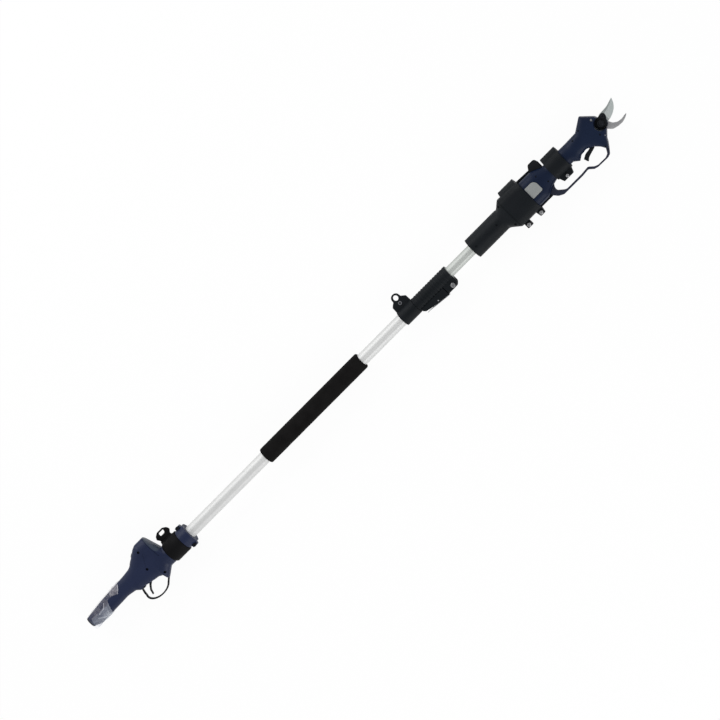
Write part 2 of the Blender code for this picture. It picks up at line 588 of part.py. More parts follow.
def make_clamp():
    """Ribbed clamp on the end of the lower tube, with a split bush and a cam lever."""
    rear = STRAP_FRONT + 0.0006
    web = (LOWER_FRONT + GAP, LOWER_FRONT + 0.0015)
    pitch = (CLAMP_FRONT - rear) / CLAMP_RIBS
    profile = [(0.0, rear)]
    for rib in range(CLAMP_RIBS):
        start = rear + rib * pitch
        profile.append((CLAMP_RADIUS, start))
        if rib < CLAMP_RIBS - 1:
            profile.append((CLAMP_RADIUS - RIB_DEPTH, start + pitch * 0.6))
    profile += [(CLAMP_RADIUS, CLAMP_FRONT), (0.0, CLAMP_FRONT)]
    body = piece("clamp_body", turned(profile, along="X", sides=16), BLACK_PLASTIC)

    ax, ay = LEVER_AXIS
    ear_rear = ax - 0.0190
    ear = rounded([(ear_rear, 0.0096 - CLAMP_RADIUS), (ear_rear, -CLAMP_RADIUS - 0.0134, 0.002),
                   (ax + 0.0050, ay - 0.0068, 0.006), (CLAMP_FRONT, ay + 0.0005, 0.006),
                   (CLAMP_FRONT, 0.0096 - CLAMP_RADIUS)])
    slot = CAM_HALF_WIDTH + RUNNING
    join(body, prism(ear, -LEVER_HALF_WIDTH, LEVER_HALF_WIDTH), "fork")
    cut(body, box((ear_rear - 0.001, CLAMP_FRONT + 0.001), (-0.0400, -CLAMP_RADIUS - 0.0004), (-slot, slot)),
        "fork_slot")
    bore = [(0.0, rear - 0.01), (LOWER_RADIUS + GAP, rear - 0.01), (LOWER_RADIUS + GAP, web[0]),
            (UPPER_RADIUS + 2 * GAP, web[0]), (UPPER_RADIUS + 2 * GAP, web[1]), (BUSH_RADIUS + GAP, web[1]),
            (BUSH_RADIUS + GAP, CLAMP_FRONT + 0.01), (0.0, CLAMP_FRONT + 0.01)]
    cut(body, turned(bore, along="X", sides=BORE_SIDES), "bore")
    window = (-CLAMP_RADIUS - 0.0014, -UPPER_RADIUS - 0.0008)
    cut(body, box((ax - CAM_REACH - 0.0005, ax + CAM_REACH), window, (-slot, slot)), "cam_window")
    cut(body, rod(0.0030 + RUNNING, -0.02, 0.02, LEVER_AXIS), "pivot_hole")

    bush = piece("clamp_bush", tube(UPPER_RADIUS + GAP, BUSH_RADIUS, web[1] + GAP, CLAMP_FRONT - GAP),
                 GREY_PLASTIC)
    split = (UPPER_RADIUS - 0.0042, BUSH_RADIUS + 0.0048)
    cut(bush, box((web[1], CLAMP_FRONT), split, (-0.0010, 0.0010)), "split")

    lever_front = ear_rear - 0.0014
    lever_rear = rear + 0.0020
    top, rim, belly, heel = [-CLAMP_RADIUS - drop for drop in (-0.0051, 0.0014, 0.0082, 0.0156)]
    lever = rounded([(lever_rear, top), (lever_rear, rim, 0.003), (lever_rear + 0.0040, belly, 0.004),
                     (lever_front, heel, 0.001), (lever_front, top)])
    handle = piece("clamp_lever", prism(lever, -LEVER_HALF_WIDTH, LEVER_HALF_WIDTH), BLACK_PLASTIC, LEVER)
    hug = rod(CLAMP_RADIUS + 0.0007, rear - 0.01, lever_front + 0.01, along="X", sides=BORE_SIDES)
    cut(handle, hug, "hug")
    nape = -CLAMP_RADIUS - 0.0039
    neck = rounded([(lever_front - 0.006, nape), (ax - 0.0060, nape, 0.002),
                    (ax - 0.0045, ay + CAM_REACH, 0.002), (ax + 0.0030, ay + CAM_REACH, 0.002)])
    neck += arc(ax, ay, CAM_RADIUS, 30, -90, 6)
    neck += [(lever_front - 0.006, ay - CAM_RADIUS)]
    join(handle, prism(neck, -CAM_HALF_WIDTH, CAM_HALF_WIDTH), "cam")
    cut(handle, box((lever_rear + 0.0070, lever_front - 0.0100), (-0.0400, nape - 0.0010), (-0.0085, 0.0085)),
        "finger_recess")
    cut(handle, rod(0.0030 + RUNNING, -0.02, 0.02, LEVER_AXIS), "pivot_hole")
    cap_bolt("lever_pin", ax, ay, -LEVER_HALF_WIDTH - 0.0010, LEVER_HALF_WIDTH + GAP, 0.0030, 0.0052,
             0.0028, STEEL)

    # Pressed steel strip under the lever, with its free end bent out for a finger
    under = [(lever_rear + 0.0065, belly - 0.0035), (lever_rear + 0.0130, belly - 0.0020),
             (lever_front, heel - 0.0010)]
    piece("lever_strip", prism(ribbon(under, 0.0011), -0.0080, 0.0080), STEEL, LEVER)


def make_handle():
    cavity = (HANDLE_REAR - 0.008, HANDLE_CAVITY_END)
    front = shell_half("handle_shell_front", HANDLE, HANDLE_REAR, NECK_END, cavity, HANDLE_WALL, 1, NAVY)
    back = shell_half("handle_shell_back", HANDLE, HANDLE_REAR, NECK_END, cavity, HANDLE_WALL, -1, NAVY)
    add_bosses(front, back, HANDLE, HANDLE_WALL, HANDLE_SCREWS)
    for number, (x, y) in enumerate(HANDLE_SCREWS, 1):
        casing_screw(f"handle_screw_{number}", HANDLE, x, y, DARK_STEEL)

    tx, ty = POLE_TRIGGER_AXIS
    for side, shell in ((1, front), (-1, back)):
        for number, (x, y) in enumerate(COLLAR_SCREWS, 1):
            lug = rounded([(x - 0.0072, y * 0.6), (x - 0.0062, y * 1.14, 0.003),
                           (x + 0.0062, y * 1.14, 0.003), (x + 0.0072, y * 0.6)])
            join(shell, prism(lug, *sorted((side * PARTING, side * 0.0075))), f"lug_{number}")
        bore = rod(LOWER_RADIUS + GAP, LOWER_REAR - GAP, NECK_END + 0.002, along="X", sides=BORE_SIDES)
        lead_way = rod(HANDLE_LEAD_WAY, HANDLE_CAVITY_END - 0.002, LOWER_REAR + 0.001, along="X",
                       sides=BORE_SIDES)
        cut(shell, bore, "bore")
        cut(shell, lead_way, "lead_way")
        cut(shell, posts(COLLAR_SCREWS, [(0.0, -0.02), (SCREW_SHANK + GAP, -0.02), (SCREW_SHANK + GAP, 0.02),
                                         (0.0, 0.02)]), "collar_holes")
        slot_half = TRIGGER_HALF_WIDTH + 2 * RUNNING
        slot = box((tx - 0.0150, tx + 0.0060), (-0.0260, -0.0105), (-slot_half, slot_half))
        cut(shell, slot, "trigger_slot")
        cut(shell, slope_tool(BUTTON_PLACE, BUTTON_RADIUS + RUNNING, 0.006), "button_hole")
        cut(shell, slope_box(LENS_PLACE, LENS_SIZE, GAP, LENS_THICKNESS + GAP, 0.004), "lens_recess")
        join(shell, rod(0.0036, *sorted((side * 0.0084, side * 0.0172)), (tx, ty), sides=10), "pin_seat")
        cut(shell, rod(PIN_RADIUS + GAP, -0.0142, 0.0142, (tx, ty), sides=8), "pin_bore")
    for number, (x, y) in enumerate(COLLAR_SCREWS, 1):
        word = "top" if number == 1 else "bottom"
        cap_bolt(f"collar_screw_{word}", x, y, -0.0090, 0.0075 + GAP, SCREW_SHANK, 0.0034, 0.0030,
                 DARK_STEEL)

    # End cap with the lead's round socket in it
    cap = piece("handle_end_cap", loft(HANDLE, REAR_END, HANDLE_REAR - GAP, 0.0), BLACK_PLASTIC)
    spigot = loft(HANDLE, HANDLE_REAR - 0.001, HANDLE_REAR + 0.007, -HANDLE_WALL - 2 * GAP, count=6)
    join(cap, spigot, "spigot")
    top, bottom = HANDLE.section(REAR_END, 0.0)[:2]
    socket = tube(0.0030, 0.0070, REAR_END - 0.001, REAR_END + 0.006, ((top + bottom) / 2, 0.0), "X", 16)
    cut(cap, socket, "socket")

    piece("pole_trigger_pin", rod(PIN_RADIUS, -0.0139, 0.0139, (tx, ty), sides=12), STEEL)
    blade = rounded([(tx + 0.0040, ty), (tx - 0.0015, -0.0155, 0.010), (tx - 0.0085, -0.0212, 0.010),
                     (tx - 0.0148, -0.0285, 0.010), (tx - 0.0183, -0.0388, 0.0010),
                     (tx - 0.0216, -0.0384, 0.0010), (tx - 0.0186, -0.0268, 0.010),
                     (tx - 0.0125, -0.0190, 0.010), (tx - 0.0040, ty)])
    trigger = piece("pole_trigger", prism(blade, -TRIGGER_HALF_WIDTH, TRIGGER_HALF_WIDTH), BLACK_PLASTIC,
                    POLE_TRIGGER)
    join(trigger, rod(0.0042, -TRIGGER_HALF_WIDTH, TRIGGER_HALF_WIDTH, (tx, ty)), "hub")
    cut(trigger, rod(PIN_RADIUS + RUNNING, -0.01, 0.01, (tx, ty), sides=12), "pin_hole")
    make_spring(tx, ty)
    make_guard()
    make_insides()
    make_controls()
    sleeve = piece("film_sleeve", loft(HANDLE, REAR_END + 0.0002, FILM_FRONT, 0.0012), CLEAR_FILM)
    cut(sleeve, loft(HANDLE, REAR_END - 0.001, FILM_FRONT + 0.001, 0.0005), "inside")


def make_spring(tx, ty):
    """Torsion spring coiled round the trigger's pin beside its hub."""
    wire, coil, turns, sides = 0.0004, 0.0031, 2, 9
    count = turns * sides
    path = []
    for step in range(count + 1):
        angle = 2 * math.pi * step / sides
        height = -0.0056 - 0.0009 * step / sides
        path.append((tx + coil * math.cos(angle), ty + coil * math.sin(angle), height))
    line = bpy.data.curves.new("pole_trigger_spring", "CURVE")
    line.dimensions = "3D"
    line.bevel_depth = wire
    line.bevel_resolution = 1
    line.use_fill_caps = True
    spline = line.splines.new("POLY")
    spline.points.add(len(path) - 1)
    for point, place in zip(spline.points, path):
        point.co = (*place, 1.0)
    line.materials.append(STEEL)
    obj = bpy.data.objects.new("pole_trigger_spring", line)
    bpy.context.scene.collection.objects.link(obj)
    obj.parent = bpy.data.objects["POLE"]
    return obj


def make_guard():
    """Thin loop round the pole trigger, seated on the belly of the handle."""
    centre, width, depth = (-0.6779, -0.0345), 0.0299, 0.0182
    path = [(-0.7005, -0.0080), (-0.7042, -0.0150), (-0.7062, -0.0225)]
    for degrees in range(165, 331, 11):
        angle = math.radians(degrees)
        path.append((centre[0] + width * math.cos(angle), centre[1] + depth * math.sin(angle)))
    path.append((-0.6410, -0.0345))
    guard = piece("trigger_guard", prism(ribbon(path, GUARD_WIDTH), -0.0046, 0.0046), BLACK_PLASTIC)
    return cut(guard, loft(HANDLE, -0.7250, -0.6250, GAP), "seat")


def make_insides():
    """Board and switch on posts in the rear half of the handle."""
    board_z = (-0.0100, -0.0084)
    rear, front, low, high = BOARD_EXTENT
    outline = [(rear, low), (front, low), (front, high), (rear + 0.0180, high), (rear, high - 0.0090)]
    board = piece("handle_board", prism(outline, *board_z), BOARD)
    cut(board, rod(SCREW_BOSS + 0.0006, -0.02, 0.0, HANDLE_SCREWS[1], sides=12), "boss_way")
    posts_at = [(rear + 0.0050, high - 0.0150), (front - 0.0090, high - 0.0050)]
    back = bpy.data.objects["handle_shell_back"]
    join(back, posts(posts_at, [(0.0, -0.0205), (0.0024, -0.0205), (0.0024, board_z[0] - GAP),
                                (0.0, board_z[0] - GAP)], 8), "board_posts")
    base = board_z[1] + GAP
    switch_rear = front - 0.0180
    body = box((switch_rear, front - 0.0030), (-0.0010, 0.0090), (base, base + 0.0110))
    plunger = box((switch_rear + 0.0050, switch_rear + 0.0080), (0.0085, 0.0105),
                  (base + 0.004, base + 0.007))
    join(piece("pole_switch", body, BLACK_PLASTIC), plunger, "plunger")


def slope_matrix(place):
    """A place on the slope: X along it, Y across the handle and Z straight out."""
    origin = Vector((*HUMP_FOOT, 0.0)) + SLOPE_ALONG * place
    columns = [SLOPE_ALONG, SLOPE_OUT.cross(SLOPE_ALONG), SLOPE_OUT, origin]
    return Matrix([[*(column[row] for column in columns)] for row in range(3)] + [[0, 0, 0, 1]])


def slope_tool(place, radius, depth):
    bm = rod(radius, -depth, 0.005, sides=16)
    bmesh.ops.transform(bm, matrix=slope_matrix(place), verts=bm.verts)
    return bm


def slope_box(place, size, margin, depth, height):
    half = [size[0] / 2 + margin, size[1] / 2 + margin]
    bm = box((-half[0], half[0]), (-half[1], half[1]), (-depth, height))
    bmesh.ops.transform(bm, matrix=slope_matrix(place), verts=bm.verts)
    return bm


def make_controls():
    piece("indicator_lens", slope_box(LENS_PLACE, LENS_SIZE, 0.0, LENS_THICKNESS, 0.0001), CLEAR_FILM)
    flange = -HANDLE_WALL - 0.0017
    profile = [(0.0, flange - 0.0016), (BUTTON_FLANGE, flange - 0.0016), (BUTTON_FLANGE, flange),
               (BUTTON_RADIUS, flange), (BUTTON_RADIUS, BUTTON_RISE - 0.0005),
               (BUTTON_RADIUS - 0.0006, BUTTON_RISE), (0.0, BUTTON_RISE)]
    bm = turned(profile, sides=16)
    bmesh.ops.transform(bm, matrix=slope_matrix(BUTTON_PLACE), verts=bm.verts)
    piece("power_button", bm, BLACK_PLASTIC, BUTTON)


def make_harness():
    """Ring that turns on the handle's neck, with an eye for the shoulder harness on a ridged foot."""
    low, high = RING_SEAT[0] + 0.0004, RING_SEAT[1] - 0.0004
    ring = piece("harness_ring", tube(RING_SEAT_RADIUS + RUNNING, RING_RADIUS, low, high, sides=32),
                 BLACK_PLASTIC, HARNESS)
    foot = (low + 0.0020, high - 0.0105)
    join(ring, box(foot, (0.0225, 0.0292), (-0.0065, 0.0065)), "pad")
    middle = ((foot[0] + foot[1]) / 2, 0.0446)
    half = (foot[1] - foot[0]) / 2
    corners = [(half - 0.0005, 0.0292 + 2 * GAP), (half - 0.0010, 0.0330, 0.001),
               (half + 0.0042, 0.0400, 0.003), (half + 0.0010, 0.0470, 0.006), (half - 0.0070, 0.0520, 0.006)]
    outline = rounded([(middle[0] + x, y, *r) for x, y, *r in corners]
                      + [(middle[0] - x, y, *r) for x, y, *r in corners[::-1]])
    eye = piece("harness_eye", prism(outline, -0.0032, 0.0032), BLACK_PLASTIC, HARNESS)
    hole = rounded([(middle[0] + x, middle[1] + y, 0.0042)
                    for x, y in ((-0.0072, -0.0044), (0.0072, -0.0044), (0.0072, 0.0044), (-0.0072, 0.0044))])
    cut_bm = prism(hole, -0.010, 0.010)
    cut(eye, cut_bm, "hole")


def hinge_knuckles(obj, spans, y, radius, side, reach, label):
    """Round knuckles on a hinge line, each with a web back to its own shell."""
    for number, (low, high) in enumerate(spans, 1):
        join(obj, rod(radius, low, high, (y, 0.0), "X", 14), f"{label}_{number}")
        web = sorted((side * PARTING / 2, side * radius))
        join(obj, box((low, high), (y - reach, y), web), f"{label}_web_{number}")


def relief(obj, spans, y, radius, label):
    for number, (low, high) in enumerate(spans, 1):
        cut(obj, rod(radius + 0.0005, low - RUNNING, high + RUNNING, (y, 0.0), "X", 14), f"{label}_{number}")


def split_hinge(low, high, knuckle_end):
    """The two outer knuckles and the one between them."""
    outer = [(low, low + knuckle_end), (high - knuckle_end, high)]
    inner = [(low + knuckle_end + RUNNING, high - knuckle_end - RUNNING)]
    return outer, inner


def lug_outline(x, low, high, foot, rear, front):
    return rounded([(x - rear, high), (x - foot, low, 0.002), (x + foot, low, 0.002), (x + front, high)])


def make_cradle():
    cover_outer, cover_inner = split_hinge(*COVER_HINGE, 0.0067)
    band_outer, band_inner = split_hinge(*BAND, 0.0087)
    lugs = [lug_outline(COVER_BOLTS[0][0], -0.0541, -0.0380, 0.0070, 0.0070, 0.0070),
            lug_outline(COVER_BOLTS[1][0], -0.0541, -0.0380, 0.0060, 0.0090, 0.0091)]
    band_lug = lug_outline(BAND_BOLT[0], -0.0374, -0.0210, 0.0130, 0.0190, 0.0200)
    pruner_room = (PRUNER_REAR - CRADLE_CLEAR, PRUNER_FRONT)

    tray = piece("cradle_tray", loft(CRADLE, SOCKET_REAR, TRAY_FRONT, 0.0, -1), BLACK_PLASTIC, SLIDE)
    back_bar = box((TRAY_FRONT - 0.0150, BAND[1]), (-0.0140, 0.0100), (-AXIS_HEIGHT - 0.0005, -0.0294))
    join(tray, back_bar, "back_bar")
    join(tray, loft(PRUNER, *BAND, BAND_WALL + CRADLE_CLEAR, -1), "saddle")
    join(tray, box(BAND, (-0.0139, 0.0099), (-0.0300, -0.0200)), "saddle_foot")
    for number, lug in enumerate(lugs + [band_lug], 1):
        depth = 0.0080 if number < 3 else 0.0070
        join(tray, prism(lug, -depth, -PARTING / 2), f"lug_{number}")
    relief(tray, cover_inner, COVER_HINGE_Y, COVER_KNUCKLE, "cover_relief")
    relief(tray, band_inner, BAND_HINGE_Y, BAND_KNUCKLE, "band_relief")
    hinge_knuckles(tray, cover_outer, COVER_HINGE_Y, COVER_KNUCKLE, -1, 0.0080, "cover_knuckle")
    hinge_knuckles(tray, band_outer, BAND_HINGE_Y, BAND_KNUCKLE, -1, 0.0060, "band_knuckle")
    cut(tray, loft(PRUNER, *pruner_room, CRADLE_CLEAR, least=0.0015), "pruner_room")
    cut(tray, rod(SOCKET_BORE, SOCKET_REAR - 0.001, SOCKET_BORE_END, along="X", sides=BORE_SIDES), "bore")
    cut(tray, box((SOCKET_REAR - 0.001, BAND[1] + 0.001), (-0.05, 0.05), (-0.05, -AXIS_HEIGHT)), "flat_back")
    pin_hole = HINGE_PIN_RADIUS + GAP
    cut(tray, rod(pin_hole, COVER_HINGE[0] - 0.002, COVER_HINGE[1] + 0.002, (COVER_HINGE_Y, 0.0), "X", 8),
        "cover_pin_hole")
    cut(tray, rod(pin_hole, BAND[0] - 0.001, BAND[1] + 0.002, (BAND_HINGE_Y, 0.0), "X", 8), "band_pin_hole")
    cut(tray, posts(COVER_BOLTS, [(0.0, -0.0100), (0.0034, -0.0100), (0.0034, 0.001), (0.0, 0.001)]),
        "cover_bolt_holes")
    cut(tray, rod(0.0028, -0.0100, 0.001, BAND_BOLT, sides=12), "band_bolt_hole")
    cut(tray, posts(SOCKET_SCREWS, [(0.0, -SCREW_BITE - GAP), (SCREW_SHANK + GAP, -SCREW_BITE - GAP),
                                    (SCREW_SHANK + GAP, 0.001), (0.0, 0.001)]), "socket_screw_holes")

    socket = piece("socket_cover", loft(CRADLE, SOCKET_REAR, COVER_REAR - GAP, 0.0, 1), BLACK_PLASTIC,
                   SLIDE)
    cut(socket, rod(SOCKET_BORE, SOCKET_REAR - 0.001, SOCKET_BORE_END, along="X", sides=BORE_SIDES), "bore")
    for number, (x, y) in enumerate(SOCKET_SCREWS, 1):
        skin = CRADLE.skin(x, y)
        well = skin - 0.0030 - SCREW_HEAD_HEIGHT
        hole = [(0.0, -0.001), (SCREW_SHANK + GAP, -0.001), (SCREW_SHANK + GAP, well),
                (SCREW_HEAD + GAP, well), (SCREW_HEAD + GAP, skin + 0.012), (0.0, skin + 0.012)]
        cut(socket, turned(hole, (x, y, 0.0), sides=12), f"well_{number}")
        word = "top" if number == 1 else "bottom"
        casing_screw(f"socket_screw_{word}", CRADLE, x, y, DARK_STEEL, 0.0030, SLIDE)

    # Ringed adapter that centres the slim tube in the wide socket
    inner, outer = UPPER_RADIUS + GAP, SOCKET_BORE - GAP
    rings = [(inner, SOCKET_REAR + 0.0005)]
    length = SOCKET_BORE_END - GAP - SOCKET_REAR - 0.0005
    for ring in range(3):
        start = SOCKET_REAR + 0.0005 + length * ring / 3
        rings += [(outer, start), (outer, start + length / 6)]
        if ring < 2:
            rings += [(outer - 0.0035, start + length / 6), (outer - 0.0035, start + length / 3)]
    rings[-1] = (outer, SOCKET_BORE_END - GAP)
    rings.append((inner, SOCKET_BORE_END - GAP))
    piece("tube_adapter", turned(rings, along="X", sides=16), GREY_PLASTIC, SLIDE)

    cover = piece("cradle_cover", loft(CRADLE, COVER_REAR + GAP, COVER_FRONT, 0.0, 1), BLACK_PLASTIC, COVER)
    for number, lug in enumerate(lugs, 1):
        join(cover, prism(lug, PARTING / 2, 0.0080), f"lug_{number}")
    relief(cover, cover_outer, COVER_HINGE_Y, COVER_KNUCKLE, "relief")
    hinge_knuckles(cover, cover_inner, COVER_HINGE_Y, COVER_KNUCKLE, 1, 0.0080, "knuckle")
    cut(cover, loft(PRUNER, *pruner_room, CRADLE_CLEAR, least=0.0015), "pruner_room")
    cut(cover, rod(HINGE_PIN_RADIUS + RUNNING, *COVER_HINGE, (COVER_HINGE_Y, 0.0), "X", 8), "pin_hole")
    cut(cover, posts(COVER_BOLTS, [(0.0, -0.001), (0.0025 + GAP, -0.001), (0.0025 + GAP, 0.01), (0.0, 0.01)]),
        "bolt_holes")
    piece("cover_hinge_pin", rod(HINGE_PIN_RADIUS, COVER_HINGE[0] - 0.0012, COVER_HINGE[1] + 0.0012,
                                 (COVER_HINGE_Y, 0.0), "X", 12), STEEL, SLIDE)
    for number, (x, y) in enumerate(COVER_BOLTS, 1):
        word = "rear" if number == 1 else "front"
        cap_bolt(f"cover_bolt_{word}", x, y, -0.0070, 0.0080 + GAP, 0.0025, 0.0043, 0.0038, STEEL, COVER)

    door = piece("band_door", loft(PRUNER, *BAND, BAND_WALL + CRADLE_CLEAR, 1), BLACK_PLASTIC, BAND_DOOR)
    join(door, prism(band_lug, PARTING / 2, 0.0070), "lug")
    relief(door, band_outer, BAND_HINGE_Y, BAND_KNUCKLE, "relief")
    hinge_knuckles(door, band_inner, BAND_HINGE_Y, BAND_KNUCKLE, 1, 0.0060, "knuckle")
    cut(door, loft(PRUNER, *pruner_room, CRADLE_CLEAR, least=0.0015), "pruner_room")
    cut(door, rod(HINGE_PIN_RADIUS + RUNNING, *BAND, (BAND_HINGE_Y, 0.0), "X", 8), "pin_hole")
    cut(door, rod(0.0020 + GAP, -0.001, 0.010, BAND_BOLT, sides=12), "bolt_hole")
    pin = rod(HINGE_PIN_RADIUS, BAND[0] - 0.0008, BAND[1] + 0.0010, (BAND_HINGE_Y, 0.0), "X", 12)
    piece("band_hinge_pin", pin, STEEL, SLIDE)
    cap_bolt("band_bolt", *BAND_BOLT, -0.0060, 0.0070 + GAP, 0.0020, 0.0037, 0.0034, STEEL, BAND_DOOR)


def make_pruner_casing():
    cavity = (PRUNER_REAR + PRUNER_WALL, PRUNER_FRONT - PRUNER_WALL)
    bx, by = BLADE_AXIS
    tx, ty = PRUNER_TRIGGER_AXIS
    blade_top = GAP + BLADE_THICKNESS + GAP
    front, back = [shell_half(f"pruner_shell_{name}", PRUNER, PRUNER_REAR, PRUNER_FRONT, cavity, PRUNER_WALL,
                              side, DEEP_NAVY, SLIDE) for name, side in (("front", 1), ("back", -1))]

    # Front half: round window over the blade's pivot, and the seat of the display plate
    cut(front, rod(LOCK_RADIUS + 0.0016, -0.001, 0.030, BLADE_AXIS, sides=28), "pivot_window")
    cut(front, prism(display_outline(GAP), DISPLAY_FLOOR - GAP, 0.040), "display_seat")
    cut(front, rod(SCREW_SHANK + GAP, 0.010, 0.030, HEAD_SCREW, sides=12), "head_screw_hole")

    # Rear half: pad under the fixed blade, with the pivot bolt's head let into its back
    pad = box((bx - 0.0140, PRUNER_FRONT - 0.0002), (by - 0.0150, by + 0.0130), (-0.0190, -blade_top))
    join(back, pad, "blade_pad")
    blade_way = box((PRUNER_FRONT - 0.006, PRUNER_FRONT + 0.002), (by - 0.0176, by + 0.0140),
                    (-blade_top, 0.001))
    cut(back, blade_way, "blade_way")
    pocket = [(0.0, -0.030), (0.0086, -0.030), (0.0086, -0.0120), (PIVOT_RADIUS + RUNNING, -0.0120),
              (PIVOT_RADIUS + RUNNING, 0.001), (0.0, 0.001)]
    cut(back, turned(pocket, (bx, by, 0.0), sides=24), "bolt_pocket")

    for side, shell in ((1, front), (-1, back)):
        half = PRUNER_TRIGGER_HALF_WIDTH + 0.0008
        cut(shell, box((0.6590, 0.6835), (-0.0420, -0.0175), (-half, half)), "trigger_slot")
        join(shell, rod(0.0036, *sorted((side * 0.0072, side * 0.0192)), (tx, ty), sides=10), "pin_seat")
        cut(shell, rod(PIN_RADIUS + GAP, -0.0165, 0.0165, (tx, ty), sides=8), "pin_bore")

    piece("pruner_trigger_pin", rod(PIN_RADIUS, -0.0162, 0.0162, (tx, ty), sides=12), STEEL, SLIDE)
    top = PRUNER.skin(*HEAD_SCREW) - 0.0005
    cut(front, rod(0.0040, top, 0.030, HEAD_SCREW, sides=16), "head_screw_seat")
    cap_bolt("head_screw", *HEAD_SCREW, 0.0120, top + GAP, SCREW_SHANK, 0.0036, 0.0016, STEEL, SLIDE)


def display_outline(margin):
    """A flat-backed D that is more rounded towards the spine."""
    low, high = COVER_FRONT + 0.0016 - margin, COVER_FRONT + 0.0302 + margin
    return rounded([(low, -0.0168 - margin, 0.0015), (high, -0.0168 - margin, 0.004),
                    (high, 0.0111 + margin, 0.0115), (low, 0.0111 + margin, 0.0015)])


def make_pruner_fittings():
    plate = piece("display_plate", prism(display_outline(0.0), DISPLAY_FLOOR, 0.0330), GREY_PLASTIC, SLIDE)
    keep(plate, loft(PRUNER, 0.5000, 0.5500, 0.0004), "surface")

    block = rounded([(0.5462, 0.0150), (0.5462, 0.0290, 0.004), (0.5515, 0.0428, 0.006),
                     (0.5695, 0.0428, 0.006),
                     (0.5730, 0.0330, 0.004), (0.5730, 0.0120)])
    lump = piece("spine_block", prism(block, -0.0105, 0.0105), BLACK_RUBBER, SLIDE, bevel=0.0015)
    cut(lump, loft(PRUNER, 0.5400, 0.5800, GAP), "seat")

    outline = rounded([
        (0.5450, -0.0300), (0.5455, -0.0400), (0.5540, -0.0500, 0.012), (0.5650, -0.0555, 0.010),
        (0.6200, -0.0558), (0.6380, -0.0542, 0.006), (0.6480, -0.0635, 0.006),
        (0.6570, LOOP_LOW + 0.0006, 0.008), (0.6850, LOOP_LOW, 0.008), (0.6930, -0.0640, 0.006),
        (0.7035, -0.0510), (0.6965, -0.0480), (0.6900, -0.0592, 0.005), (0.6815, -0.0628, 0.006),
        (0.6590, -0.0625, 0.006), (0.6510, -0.0592, 0.005), (0.6405, -0.0502, 0.006), (0.6200, -0.0521),
        (0.5750, -0.0521, 0.012), (0.5590, -0.0385, 0.010), (0.5610, -0.0300, 0.006), (0.5680, -0.0210)])
    guard = piece("hand_guard", prism(outline, -0.0055, 0.0055), BLACK_PLASTIC, SLIDE)
    cut(guard, loft(PRUNER, TRAY_FRONT - 0.0150, PRUNER_FRONT - 0.0070, GAP), "seat")

    tx, ty = PRUNER_TRIGGER_AXIS
    lever = rounded([(0.6462, -0.0330, 0.0015), (0.6570, -0.0272, 0.012), (0.6700, -0.0256, 0.010),
                     (tx - 0.0060, ty + 0.0010), (tx, ty + 0.0036), (tx + 0.0036, ty),
                     (tx - 0.0010, ty - 0.0055, 0.003), (0.6790, -0.0315, 0.004), (0.6660, -0.0350, 0.014),
                     (0.6560, -0.0384, 0.010),
                     (0.6500, -0.0436, 0.0010)])
    trigger = piece("pruner_trigger", prism(lever, -PRUNER_TRIGGER_HALF_WIDTH, PRUNER_TRIGGER_HALF_WIDTH),
                    BLACK_PLASTIC, PRUNER_TRIGGER)
    cut(trigger, rod(PIN_RADIUS + RUNNING, -0.01, 0.01, (tx, ty), sides=12), "pin_hole")


def make_drive():
    """Battery, motor and gearbox in line, with the pinion's bearing arm at the front."""
    cells = loft(PRUNER, PRUNER_REAR + 0.0040, BATTERY_FRONT, -PRUNER_WALL - 2 * GAP, count=6)
    piece("battery_pack", cells, GREY_PLASTIC, SLIDE)
    radius = DRIVE_RADIUS
    at = (0.0, DRIVE_CENTRE_Y, 0.0)
    low, high = MOTOR
    can = [(0.0, low - 0.006), (0.0045, low - 0.006), (0.0045, low), (radius - 0.001, low),
           (radius, low + 0.001), (radius, high), (0.0, high)]
    piece("motor", turned(can, at, "X", 20), DARK_STEEL, SLIDE)
    start = high + GAP
    nose = GEARBOX_FRONT + 0.0200
    gears = [(0.0, start), (radius, start), (radius, GEARBOX_FRONT - 0.012),
             (radius - 0.002, GEARBOX_FRONT - 0.011), (radius - 0.002, GEARBOX_FRONT),
             (0.0080, GEARBOX_FRONT + 0.001), (0.0080, nose), (0.0, nose)]
    gearbox = piece("gearbox", turned(gears, at, "X", 20), DARK_STEEL, SLIDE)
    px, py = pinion_place()
    arm = rounded([(0.6600, py - 0.0070), (px, py - 0.0070, 0.003), (px + 0.0070, py - 0.0070, 0.003),
                   (px + 0.0070, py + 0.0070, 0.003), (0.6600, py + 0.0070)])
    join(gearbox, prism(arm, -0.0095, -0.0040), "bearing_arm")
    cut(gearbox, rod(0.0030 + RUNNING, -0.02, 0.0, (px, py), sides=12), "bearing")


def pinion_place():
    distance = MODULE * (SECTOR_TEETH_FULL + PINION_TEETH) / 2
    return BLADE_AXIS[0] - distance, BLADE_AXIS[1]


def tooth_flank(teeth, addendum, dedendum, shift):
    """Half angle of an involute tooth at rising radii, from its root to its tip."""
    pitch = MODULE * teeth / 2
    base = pitch * math.cos(PRESSURE_ANGLE)
    half = math.pi / 2 / teeth - BACKLASH / 2 / pitch + shift / pitch
    zero = half + math.tan(PRESSURE_ANGLE) - PRESSURE_ANGLE
    flank = [(pitch - dedendum, zero)]
    low = max(base, pitch - dedendum)
    for step in range(3):
        radius = low + (pitch + addendum - low) * step / 2
        roll = math.acos(min(1.0, base / radius))
        flank.append((radius, zero - (math.tan(roll) - roll)))
    return flank


def tooth_points(cx, cy, centre_angle, flank):
    """One tooth's outline, turning anticlockwise."""
    angles = [(radius, centre_angle - half) for radius, half in flank]
    angles += [(radius, centre_angle + half) for radius, half in flank[::-1]]
    return [(cx + radius * math.cos(angle), cy + radius * math.sin(angle)) for radius, angle in angles]


